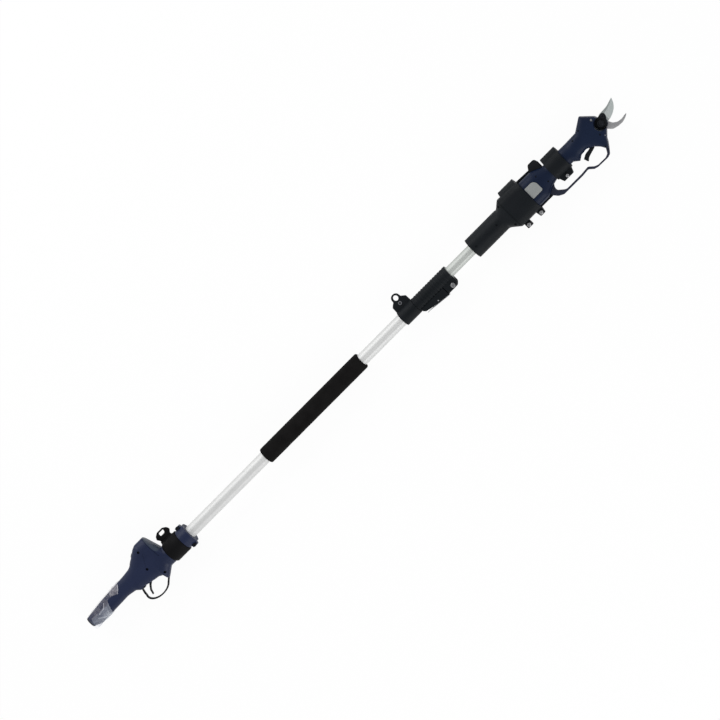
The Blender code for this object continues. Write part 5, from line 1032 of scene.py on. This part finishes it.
def make_harness():
    """Ring that turns on the handle's neck, with a ridged foot and an eye for the shoulder harness."""
    low, high = RING_SEAT[0] + 0.0004, RING_SEAT[1] - 0.0004
    tilt = Matrix.Rotation(EYE_TILT, 4, "X")
    inner = NECK_RADIUS + RUNNING
    edge = 0.0012
    profile = [(inner, low), (RING_RADIUS - 0.0042, low), (RING_RADIUS - 0.0036, low + 0.0002),
               (RING_RADIUS - 0.0006, low + 0.0036), (RING_RADIUS, low + 0.0046), (RING_RADIUS, high - edge),
               (RING_RADIUS - edge * 0.3, high - edge * 0.3), (RING_RADIUS - edge, high), (inner, high)]
    ring = loose("swivel_ring", spun(profile, along="X", sides=96))
    foot = (low + 0.002, high - 0.0105)
    join(ring, block(foot, (0.0225, 0.0292), (-0.0065, 0.0065), 0.0008))
    ridges = [foot[0] + 0.004 + number * (foot[1] - foot[0] - 0.008) / 4 for number in range(5)]
    cut(ring, *[block((x - 0.0007, x + 0.0007), (0.0284, 0.03), sided(side, 0.008, 0.0048))
                for x in ridges for side in (-1, 1)])
    ring.data.transform(tilt)
    finished(ring, "dull_black_plastic", "harness", "harness_ring", "black_plastic")

    middle, half = (foot[0] + foot[1]) / 2, (foot[1] - foot[0]) / 2
    corners = [(half - 0.0005, 0.0292 + 2 * GAP), (half - 0.001, 0.033, 0.001), (half + 0.0042, 0.04, 0.003),
               (half + 0.001, 0.047, 0.006), (half - 0.007, 0.052, 0.006)]
    outline = [(middle + x, *rest) for x, *rest in corners]
    outline += [(middle - x, *rest) for x, *rest in corners[::-1]]
    eye = loose("harness_loop", slab(outline, -0.0032, 0.0032, 0.001, 8))
    hole = [(middle + x * 0.0076, 0.0446 + y * 0.0047, 0.0042) for x, y in CORNERS]
    cut(eye, slab(hole, -0.01, 0.01, 0, 8))
    eye.data.transform(tilt)
    finished(eye, "dull_black_plastic", "harness", "harness_eye", "black_plastic")


# Cradle
def lug_outline(x, low, high, foot, rear, front):
    return [(x - rear, high), (x - foot, low, 0.002), (x + foot, low, 0.002), (x + front, high)]


def pruner_room():
    return PRUNER.body(PRUNER_REAR - CRADLE_CLEAR, PRUNER_FRONT, CRADLE_CLEAR, 64, 0.004)


class Door:
    """What hangs a door on the tray and shuts it: a hinge on the spine and lugs with bolts below."""

    def __init__(self, span, y, radius, knuckle, reach, shoulder, lugs, lug_depth, bolts, bolt, bolt_hole):
        low, high = span
        self.span, self.y, self.radius, self.reach, self.outline = span, y, radius, reach, shoulder
        self.lug_outlines, self.lug_depth = lugs, lug_depth
        self.bolts, self.bolt, self.bolt_hole = bolts, bolt, bolt_hole
        self.outer = [(low, low + knuckle), (high - knuckle, high)]
        self.inner = [(low + knuckle + RUNNING, high - knuckle - RUNNING)]

    def knuckles(self, obj, spans, side):
        parts = []
        for span in spans:
            parts += [rod(self.radius, *span, (self.y, 0), "X", 40, 0.0004),
                      block(span, (self.y - self.reach, self.y), sided(side, PARTING / 2, self.radius))]
        join(obj, *parts)

    def relief(self, spans):
        return [rod(self.radius + 0.0005, low - RUNNING, high + RUNNING, (self.y, 0), "X", 40)
                for low, high in spans]

    def shoulder(self, side):
        """Carries the hinge's knuckles back to the casing. Its outline is in Y and Z."""
        placed = [(y, side * max(z, PARTING / 2), *radius) for y, z, *radius in self.outline]
        return slab(placed[::side], *self.span, 0.0004, along="X")

    def lugs(self, side):
        return [slab(lug, *sided(side, PARTING / 2, self.lug_depth), 0.0005) for lug in self.lug_outlines]

    def pin(self, wider, rear, front, edge=0):
        """A rod along the hinge that is this much wider than its pin and goes this far past its ends."""
        return rod(HINGE_PIN_RADIUS + wider, self.span[0] - rear, self.span[1] + front, (self.y, 0), "X",
                   edge=edge)

    def make(self, door, body, node, pin_name, pin_ends, bolts):
        """The door itself, from its plain shape, with its pin and its bolts."""
        join(door, *self.lugs(1), self.shoulder(1))
        cut(door, *self.relief(self.outer))
        self.knuckles(door, self.inner, 1)
        tip, shank, head, height = self.bolt
        cut(door, pruner_room(), self.pin(RUNNING, 0, 0),
            *[rod(shank + GAP, -0.001, 0.01, place, sides=24) for place in self.bolts])
        finished(door, "black_plastic", body, node)
        piece(pin_name, self.pin(0, *pin_ends, 0.0004), "steel", "head", f"{body}_hinge_pin")
        for (name, bolt_node), place in zip(bolts, self.bolts):
            cap_bolt(name, place, tip, self.lug_depth + GAP, shank, head, height, "steel", body, bolt_node)


COVER_DOOR = Door(
    COVER_HINGE, 0.041, 0.005, 0.0067, 0.008,
    [(0.029, 0), (0.029, 0.023), (0.039, 0.015, 0.003), (0.044, 0.0075, 0.003), (0.0452, 0)],
    [lug_outline(COVER_BOLTS[0][0], -0.0541, -0.038, 0.007, 0.007, 0.007),
     lug_outline(COVER_BOLTS[1][0], -0.0541, -0.038, 0.006, 0.009, 0.0091)], 0.008,
    COVER_BOLTS, (-0.007, 0.0025, 0.0043, 0.0038), 0.0034)
BAND_DOOR = Door(
    BAND, 0.0275, 0.0045, 0.0087, 0.006,
    [(0.017, 0), (0.017, 0.014), (0.0255, 0.0105, 0.003), (0.0302, 0.0055, 0.002), (0.0312, 0)],
    [lug_outline(BAND_BOLT[0], -0.0374, -0.021, 0.013, 0.019, 0.02)], 0.007,
    [BAND_BOLT], (-0.006, 0.002, 0.0037, 0.0034), 0.0028)


def band_half(side):
    return PRUNER.half_body(*BAND, side, BAND_WALL + CRADLE_CLEAR)


def socket_bore():
    return rod(SOCKET_BORE, SOCKET_REAR - 0.001, SOCKET_BORE_END, along="X", sides=64)


def make_tray():
    tray = loose("cradle_back", CRADLE.half_body(SOCKET_REAR, TRAY_FRONT, -1))
    join(tray, block((TRAY_FRONT - 0.015, BAND[1]), (-0.014, 0.01), (-AXIS_HEIGHT - 0.0005, -0.0294)),
         band_half(-1), block(BAND, (-0.0139, 0.0099), (-0.03, -0.02)))
    doors = COVER_DOOR, BAND_DOOR
    join(tray, *[lug for door in doors for lug in door.lugs(-1)], *[door.shoulder(-1) for door in doors])
    cut(tray, *[room for door in doors for room in door.relief(door.inner)])
    for door in doors:
        door.knuckles(tray, door.outer, -1)
    cut(tray, pruner_room(), socket_bore(),
        block((SOCKET_REAR - 0.001, BAND[1] + 0.001), (-0.05, 0.05), (-0.05, -AXIS_HEIGHT)),
        COVER_DOOR.pin(GAP, 0.002, 0.002), BAND_DOOR.pin(GAP, 0.001, 0.002),
        *[rod(door.bolt_hole, -0.01, 0.001, place, sides=24) for door in doors for place in door.bolts],
        *[shank_hole(place) for place in SOCKET_SCREWS])
    finished(tray, "black_plastic", "head", "cradle_tray")


def make_doors():
    COVER_DOOR.make(loose("cradle_lid", CRADLE.half_body(COVER_REAR + GAP, COVER_FRONT, 1)), "cover",
                    "cradle_cover", "lid_hinge_pin", (0.0012, 0.0012),
                    [(f"lid_bolt_{word}", f"cover_bolt_{word}") for word in ("rear", "front")])
    BAND_DOOR.make(loose("band_half", band_half(1)), "band", "band_door", "band_pin", (0.0008, 0.001),
                   [("band_screw", "band_bolt")])


def make_socket():
    holes = [screw_hole(CRADLE, place, SOCKET_SCREW_DEPTH, 0.012) for place in SOCKET_SCREWS]
    holes += [flush_well(CRADLE, place, *GRUB_WELL) for place in GRUB_SCREWS]
    piece("socket_half", CRADLE.half_body(SOCKET_REAR, COVER_REAR - GAP, 1), "black_plastic", "head",
          "socket_cover", cuts=[socket_bore(), *holes])
    for word, place in zip(("top", "bottom"), SOCKET_SCREWS):
        sunk_screw(f"cradle_screw_{word}", CRADLE, place, "head", f"socket_screw_{word}", SOCKET_SCREW_DEPTH)
    flush_screws("grub_screw", CRADLE, GRUB_SCREWS, *GRUB_WELL)

    inner, outer = UPPER_RADIUS + GAP, SOCKET_BORE - GAP
    start, end = SOCKET_REAR + 0.0005, SOCKET_BORE_END - GAP
    rings = [(inner, start)]
    for ring in range(3):
        low = start + (end - start) * ring / 3
        high = low + (end - start) / 6
        rings += [(outer - 0.0005, low), (outer, low + 0.0005), (outer, high - 0.0005),
                  (outer - 0.0005, high)]
        if ring < 2:
            rings += [(outer - 0.0035, high), (outer - 0.0035, low + (end - start) / 3)]
    rings += [(outer, high), (outer, end), (inner, end)]
    piece("stepped_adapter", spun(rings, along="X", sides=64), "grey_plastic", "head", "tube_adapter")


# Pruner
def display_outline(margin):
    low, high = COVER_FRONT + 0.0016 - margin, COVER_FRONT + 0.0302 + margin
    return [(low, -0.0168 - margin, 0.0015), (high, -0.0168 - margin, 0.004), (high, 0.0111 + margin, 0.0115),
            (low, 0.0111 + margin, 0.0015)]


BELLY_CREASE = [(0.515, -0.0335), (0.54, -0.0325), (0.552, -0.0262), (0.564, -0.0205), (0.574, -0.019)]


def make_pruner_shells():
    bx, by = BLADE_AXIS
    blade_top = GAP + BLADE_THICKNESS + GAP
    for name, side in SIDES.items():
        shell = loose(f"pruner_casing_{name}", PRUNER.half_body(PRUNER_REAR, PRUNER_FRONT, side))
        cut(shell, PRUNER.body(PRUNER_REAR + PRUNER_WALL, PRUNER_FRONT - PRUNER_WALL, -PRUNER_WALL, 40,
                               0.005))
        cuts = [block((0.659, 0.6835), (-0.042, -0.0175), (-0.0068, 0.0068))]
        if side > 0:
            cuts += [rod(LOCK_RADIUS + 0.0016, -0.001, 0.03, BLADE_AXIS, sides=64),
                     slab(display_outline(0.0009), DISPLAY_FLOOR - GAP, 0.04, 0, 8),
                     rod(SCREW_SHANK + GAP, 0.01, 0.03, HEAD_SCREW, sides=20),
                     rod(0.004, PRUNER.skin(*HEAD_SCREW) - 0.0005, 0.03, HEAD_SCREW)]
            cuts += [flush_well(PRUNER, place, *CASE_WELL) for place in CASE_SCREWS]
            cuts.append(scored(PRUNER, ribbon(BELLY_CREASE, 0.0008), 0.0004, 0.5, 0.6))
        else:
            join(shell, block((bx - 0.014, PRUNER_FRONT - 0.0002), (by - 0.015, by + 0.013),
                              (-0.019, -blade_top)))
            pocket = [(0, -0.03), (0.0086, -0.03), (0.0086, -0.012), (PIVOT_RADIUS + RUNNING, -0.012),
                      (PIVOT_RADIUS + RUNNING, 0.001), (0, 0.001)]
            cuts += [block((PRUNER_FRONT - 0.006, PRUNER_FRONT + 0.002), (by - 0.0176, by + 0.014),
                           (-blade_top, 0.001)), spun(pocket, BLADE_AXIS, sides=40)]
        cut(shell, *cuts)
        join(shell, rod(TRIGGER_PIN_SEAT, *sided(side, 0.0072, 0.0192), PRUNER_TRIGGER_AXIS, sides=24))
        cut(shell, rod(TRIGGER_PIN_HOLE, -0.0165, 0.0165, PRUNER_TRIGGER_AXIS, sides=20))
        finished(shell, "deep_navy_plastic", "head", f"pruner_shell_{name}")


# In X and Y: the rubber block on the spine and the hand guard's loop
SPINE_OUTLINE = [(0.544, 0.015), (0.544, 0.03, 0.003), (0.5532, 0.0428, 0.006), (0.5695, 0.0428, 0.006),
                 (0.573, 0.033, 0.004), (0.573, 0.012)]
GUARD_OUTLINE = [
    (0.545, -0.03), (0.5455, -0.04), (0.554, -0.0502, 0.012), (0.565, -0.056, 0.01), (0.62, -0.0563),
    (0.638, -0.0547, 0.006), (0.648, -0.0635, 0.006), (0.657, -0.0659, 0.008), (0.685, -0.0665, 0.008),
    (0.693, -0.064, 0.006), (0.7035, -0.051), (0.6965, -0.048), (0.69, -0.0592, 0.005),
    (0.6815, -0.0628, 0.006), (0.659, -0.0625, 0.006), (0.651, -0.0592, 0.005), (0.6405, -0.0499, 0.006),
    (0.62, -0.0516), (0.575, -0.0516, 0.012), (0.559, -0.0385, 0.01), (0.561, -0.03, 0.006),
    (0.568, -0.021)]


def make_pruner_fittings():
    flush_screws("case_screw", PRUNER, CASE_SCREWS, *CASE_WELL)
    rivet_at = (0.715, -0.0285)
    rivet_top = PRUNER.skin(*rivet_at) + 0.0003
    piece("nose_rivet", rod(0.0013, rivet_top - 0.002, rivet_top, rivet_at, sides=24, edge=0.0002),
          "steel", "head")
    inner, outer = LOCK_RADIUS + 0.0003, LOCK_RADIUS + 0.0015
    seal = [(inner, 0.0048), (outer, 0.0048), (outer, 0.0068), (inner, 0.0064)]
    piece("pivot_dust_seal", spun(seal, BLADE_AXIS, sides=72), "deep_navy_plastic", "head")

    plate = loose("display_cover", slab(display_outline(0), DISPLAY_FLOOR, 0.033, 0, 8))
    keep(plate, PRUNER.body(0.5, 0.55, 0.0004))
    finished(plate, "grey_plastic", "head", "display_plate")

    piece("rubber_buffer", slab(SPINE_OUTLINE, -0.0105, 0.0105, 0.0022, 8), "black_rubber", "head",
          "spine_block", cuts=[PRUNER.body(0.54, 0.58, GAP, 64, 0.003)])
    piece("hand_loop", slab(GUARD_OUTLINE, -0.0055, 0.0055, 0.0007), "charcoal_plastic", "head",
          "hand_guard", "navy_plastic", cuts=[PRUNER.body(0.53, 0.72, GAP, 64, 0.003)])

    tx, ty = PRUNER_TRIGGER_AXIS
    outline = [(0.6462, -0.033, 0.0015), (0.657, -0.0272, 0.012), (0.67, -0.0256, 0.01),
               (tx - 0.006, ty + 0.001), (tx, ty + 0.0036), (tx + 0.0036, ty),
               (tx - 0.001, ty - 0.0055, 0.003), (0.679, -0.0315, 0.004), (0.666, -0.035, 0.014),
               (0.656, -0.0384, 0.01), (0.65, -0.0436, 0.001)]
    piece("cutting_trigger", slab(outline, -0.006, 0.006, 0.001), "black_plastic", "pruner_lever",
          "pruner_trigger", cuts=[rod(TRIGGER_BORE, -0.01, 0.01, PRUNER_TRIGGER_AXIS, sides=24)])
    cap_bolt("nose_screw", HEAD_SCREW, 0.012, PRUNER.skin(*HEAD_SCREW) - 0.0005 + GAP, SCREW_SHANK, 0.0023,
             0.0016, "dull_steel", "head", "head_screw", "steel")


# Blades
MODULE = 0.0015
SECTOR_TEETH_FULL = 28
SECTOR_TEETH = 6
PRESSURE_ANGLE = math.radians(25)
TANG_RADIUS = 0.012
GROUND_WIDTH = 0.016
GROUND_DEPTH = 0.003
CUTTING_EDGE = [(0.748, -0.0108), (0.757, -0.0075, 0.02), (0.767, -0.0015, 0.02), (0.7745, 0.0075, 0.02),
                (0.779, 0.0186, 0.0008)]
BLADE_SPINE = [(0.77, 0.0158, 0.03), (0.759, 0.0122, 0.03), (0.737, 0.0112)]
GROUND_OUTLINE = [
    (0.744, -0.017), (0.758, -0.0125), (0.769, -0.005), (0.779, 0.007), (0.786, 0.026), (0.78, 0.026),
    (0.7768, 0.0166, 0.02), (0.766, 0.0112, 0.02), (0.756, 0.0078, 0.02), (0.744, 0.005)]
HOOK_OUTLINE = [
    (0.7205, -0.0205, 0.003), (0.7262, -0.022, 0.003), (0.7345, -0.0315, 0.012), (0.7475, -0.035, 0.02),
    (0.76, -0.0356, 0.02), (0.772, -0.0318, 0.02), (0.7786, -0.0272, 0.0007), (0.774, -0.0268, 0.01),
    (0.763, -0.0287, 0.02), (0.752, -0.0272, 0.012), (0.7435, -0.0212, 0.01), (0.7395, -0.013, 0.01),
    (0.7365, -0.002, 0.008), (0.734, 0.006, 0.006), (0.725, 0.007, 0.006), (0.715, 0.005, 0.006),
    (0.708, -0.002, 0.006), (0.708, -0.019, 0.003)]


def sector_outline():
    """Gear teeth on the back of the cutting blade, with the roots before and after them."""
    bx, by = BLADE_AXIS
    pitch = MODULE * SECTOR_TEETH_FULL / 2
    base = pitch * math.cos(PRESSURE_ANGLE)
    half = math.pi / 2 / SECTOR_TEETH_FULL - 0.00015 / pitch
    zero = half + math.tan(PRESSURE_ANGLE) - PRESSURE_ANGLE
    root = pitch - 1.35 * MODULE
    flank = [(root, zero)]
    for step in range(5):
        radius = base + (pitch + 0.75 * MODULE - base) * step / 4
        roll = math.acos(min(1, base / radius))
        flank.append((radius, zero - (math.tan(roll) - roll)))
    each = 2 * math.pi / SECTOR_TEETH_FULL
    first = math.pi - each / 2
    start, end = first - each * 0.55, first + each * (SECTOR_TEETH - 0.45)
    points = [(root, start)]
    for tooth in range(SECTOR_TEETH):
        middle = first + tooth * each
        points += [(radius, middle - angle) for radius, angle in flank]
        points += [(radius, middle + angle) for radius, angle in flank[::-1]]
    points.append((root, end))
    outline = [(bx + r * math.cos(a), by + r * math.sin(a)) for r, a in points]
    return outline, math.degrees(start), math.degrees(end)


def make_cutting_blade():
    """Cutting blade, hollow-ground towards its curved edge."""
    low, high = GAP, GAP + BLADE_THICKNESS
    sector, start, end = sector_outline()
    outline = [*CUTTING_EDGE, *BLADE_SPINE, *arc(BLADE_AXIS, TANG_RADIUS, 95, start - 6, 14), *sector,
               *arc(BLADE_AXIS, TANG_RADIUS, end + 6, 318, 14)]
    wedge = slab(GROUND_OUTLINE, high - 0.0001, high + 0.01, 0, 8)
    for vert in wedge.verts:
        if vert.co.z < high + 0.001:
            away = distance_to(CUTTING_EDGE, vert.co.x, vert.co.y)
            vert.co.z = high - 0.0001 - GROUND_DEPTH * max(0, 1 - away / GROUND_WIDTH)
    holes = [rod(PIVOT_RADIUS + GAP, -0.001, 0.01, BLADE_AXIS),
             rod(LOCK_SHANK + GAP, -0.001, 0.01, LOCK_SCREW)]
    blade = piece("cutting_blade_ground", slab(outline, low, high, 0, 8), "blade_steel", "blade",
                  "cutting_blade", cuts=[wedge, *holes], crease=20)
    refaced(blade, "ground_steel", lambda place, normal: place.x > 0.744 and 0.5 < normal.z < 0.9995)


def make_hook():
    """Fixed hook blade that holds the branch."""
    piece("hook_blade_ground", slab(HOOK_OUTLINE, -BLADE_THICKNESS, 0, 0.0006, 8), "hook_steel", "head",
          "hook_blade", cuts=[rod(PIVOT_RADIUS + RUNNING, -0.01, 0.001, BLADE_AXIS)], crease=25)


def make_lock():
    """Egg-shaped lock plate with its screw, and the pivot bolt with its hexagon nut."""
    lobe = 0.0066
    ahead = Vector(LOCK_SCREW) - Vector(BLADE_AXIS)
    turn = math.degrees(math.acos((LOCK_RADIUS - lobe) / ahead.length))
    lean = math.degrees(math.atan2(ahead.y, ahead.x))
    egg = arc(BLADE_AXIS, LOCK_RADIUS, lean + turn, lean + 360 - turn, 44)
    egg += arc(LOCK_SCREW, lobe, lean - turn, lean + turn, 18)
    low = GAP + BLADE_THICKNESS + GAP
    piece("pivot_lock_plate", slab(egg, low, low + LOCK_PLATE, 0.0006), "black_plastic", "blade",
          "lock_plate",
          cuts=[rod(PIVOT_RADIUS + GAP, 0, 0.02, BLADE_AXIS),
                rod(LOCK_SHANK + GAP, 0, 0.02, LOCK_SCREW)])
    seat = low + LOCK_PLATE + GAP
    cap_bolt("lock_plate_screw", LOCK_SCREW, 0.001, seat, LOCK_SHANK, 0.0042, 0.0024, "dark_steel",
             "blade", "lock_screw")

    nut = loose("hexagon_nut", rod(0.0085, seat, seat + 0.0045, BLADE_AXIS, sides=6))
    dome = [(0, seat - 0.001), (0.0095, seat - 0.001), (0.0095, seat + 0.0033), (0.0075, seat + 0.0046),
            (0, seat + 0.0046)]
    keep(nut, spun(dome, BLADE_AXIS))
    cut(nut, rod(PIVOT_RADIUS + GAP, 0, 0.03, BLADE_AXIS))
    finished(nut, "dark_steel", "blade", "pivot_nut", crease=25)
    head = [(0, -0.0165), (0.007, -0.0165), (0.008, -0.0155), (0.008, -0.0123), (PIVOT_RADIUS, -0.0123),
            (PIVOT_RADIUS, seat + 0.0046), (PIVOT_RADIUS - 0.0005, seat + 0.0052), (0.003, seat + 0.0055),
            (0, seat + 0.0056)]
    piece("pivot_stud", spun(head, BLADE_AXIS), "dark_steel", "blade", "pivot_bolt", "steel")


# What stays as it was packed
CARRIED_OVER = {
    "steel": ["pole_trigger_pin", "pole_trigger_spring", "pruner_trigger_pin"],
    "dark_steel": ["motor", "gearbox", "drive_pinion"],
    "black_plastic": ["pole_switch", "guide_bush"],
    "grey_plastic": ["battery_pack"],
    "circuit_board": ["handle_board"]}


def finish_carried_over():
    for finish, nodes in CARRIED_OVER.items():
        for node in nodes:
            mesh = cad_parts[node].data
            mesh.materials.clear()
            mesh.materials.append(FINISHES[finish])


# Studio
CAMERA_TILT = math.radians(11)
CAMERA_ROLL = math.radians(45.11)
CAMERA_DISTANCE = 7
AIM = POLE_AXIS + Vector((0, 0.0028, 0))
SOFTBOX_SIZE = 2.4
FLOOR_GLOW = 0.95


def set_camera():
    """The photograph's camera: far off, leaning towards the head, with the pole across the frame."""
    out = Vector((math.sin(CAMERA_TILT), 0, math.cos(CAMERA_TILT)))
    along = Vector((math.cos(CAMERA_TILT), 0, -math.sin(CAMERA_TILT)))
    across = Vector((0, 1, 0))
    right = math.cos(CAMERA_ROLL) * along - math.sin(CAMERA_ROLL) * across
    up = math.sin(CAMERA_ROLL) * along + math.cos(CAMERA_ROLL) * across
    data = bpy.data.cameras.new("camera")
    data.lens = 162.8
    data.sensor_width = 36
    data.clip_end = 100
    camera = stand("camera", data)
    place = Matrix((right, up, out)).transposed().to_4x4()
    place.translation = AIM + out * CAMERA_DISTANCE
    camera.matrix_world = place
    bpy.context.scene.camera = camera


def softbox(name, place, power):
    data = bpy.data.lights.new(name, "AREA")
    data.shape = "SQUARE"
    data.size = SOFTBOX_SIZE
    data.energy = power
    lamp = stand(name, data)
    lamp.location = place
    lamp.rotation_mode = "QUATERNION"
    lamp.rotation_quaternion = (Vector(place) - AIM).to_track_quat("Z", "Y")


def seen_directly(tree):
    """1 for rays from the camera, in a mirror or through glass, and 0 for the light that falls on things."""
    rays = [add(tree, "LightPath", f"Is {kind} Ray") for kind in ("Camera", "Glossy", "Transmission")]
    return maths(tree, "MAXIMUM", maths(tree, "MAXIMUM", rays[0], rays[1]), rays[2])


def surface(tree, share, first, second, output):
    """Sends a mix of two shaders to the tree's output node."""
    mix = tree.nodes.new("ShaderNodeMixShader")
    for socket, value in zip(mix.inputs, (share, first, second)):
        tree.links.new(value, socket)
    tree.links.new(mix.outputs["Shader"], tree.nodes[output].inputs["Surface"])


def set_world():
    """A plain white room, a little darker straight above, where the camera stands."""
    world = bpy.data.worlds.new("studio")
    bpy.context.scene.world = world
    world.use_nodes = True
    tree = world.node_tree
    light = add(tree, "Background", "Background", Color=(1, 1, 1), Strength=0.58)
    height = add(tree, "SeparateXYZ", "Z", Vector=add(tree, "TexCoord", "Generated"))
    shown = blend(tree, spread(tree, height, 0.55, 0.97), (1, 1, 1), (0.4, 0.41, 0.42))
    seen = add(tree, "Background", "Background", Color=shown)
    surface(tree, seen_directly(tree), light, seen, "World Output")


def set_floor():
    """White paper under the tool, which keeps a faint shadow."""
    bm = bmesh.new()
    bmesh.ops.create_grid(bm, x_segments=1, y_segments=1, size=12)
    bmesh.ops.translate(bm, vec=(0, 0, -0.0006), verts=bm.verts)
    floor = loose("paper_floor", bm)
    made, tree = blank("paper")
    tooth = blend(tree, grains(tree, 0.004, 2), (0.955, 0.955, 0.955), (0.985, 0.985, 0.985))
    shade(made, Base_Color=tooth, Roughness=0.9, Specular_IOR_Level=0)
    surface(tree, maths(tree, "MULTIPLY", seen_directly(tree), FLOOR_GLOW),
            tree.nodes["Principled BSDF"].outputs["BSDF"], add(tree, "Emission", "Emission", Strength=1),
            "Material Output")
    floor.data.materials.append(made)


bpy.context.scene.view_settings.view_transform = "Standard"
set_camera()
set_world()
set_floor()
softbox("key_softbox", (-0.5, 3.4, 1.9), 70)
softbox("fill_softbox", (0.2, -3.4, 1.9), 55)

for make in (make_tubes, make_grip, make_strap_ring, make_clamp, make_handle_shells, make_handle_fittings,
             make_film, make_harness, make_tray, make_socket, make_doors, make_pruner_shells,
             make_pruner_fittings, make_cutting_blade, make_hook, make_lock, finish_carried_over):
    make()

bpy.context.view_layer.update()
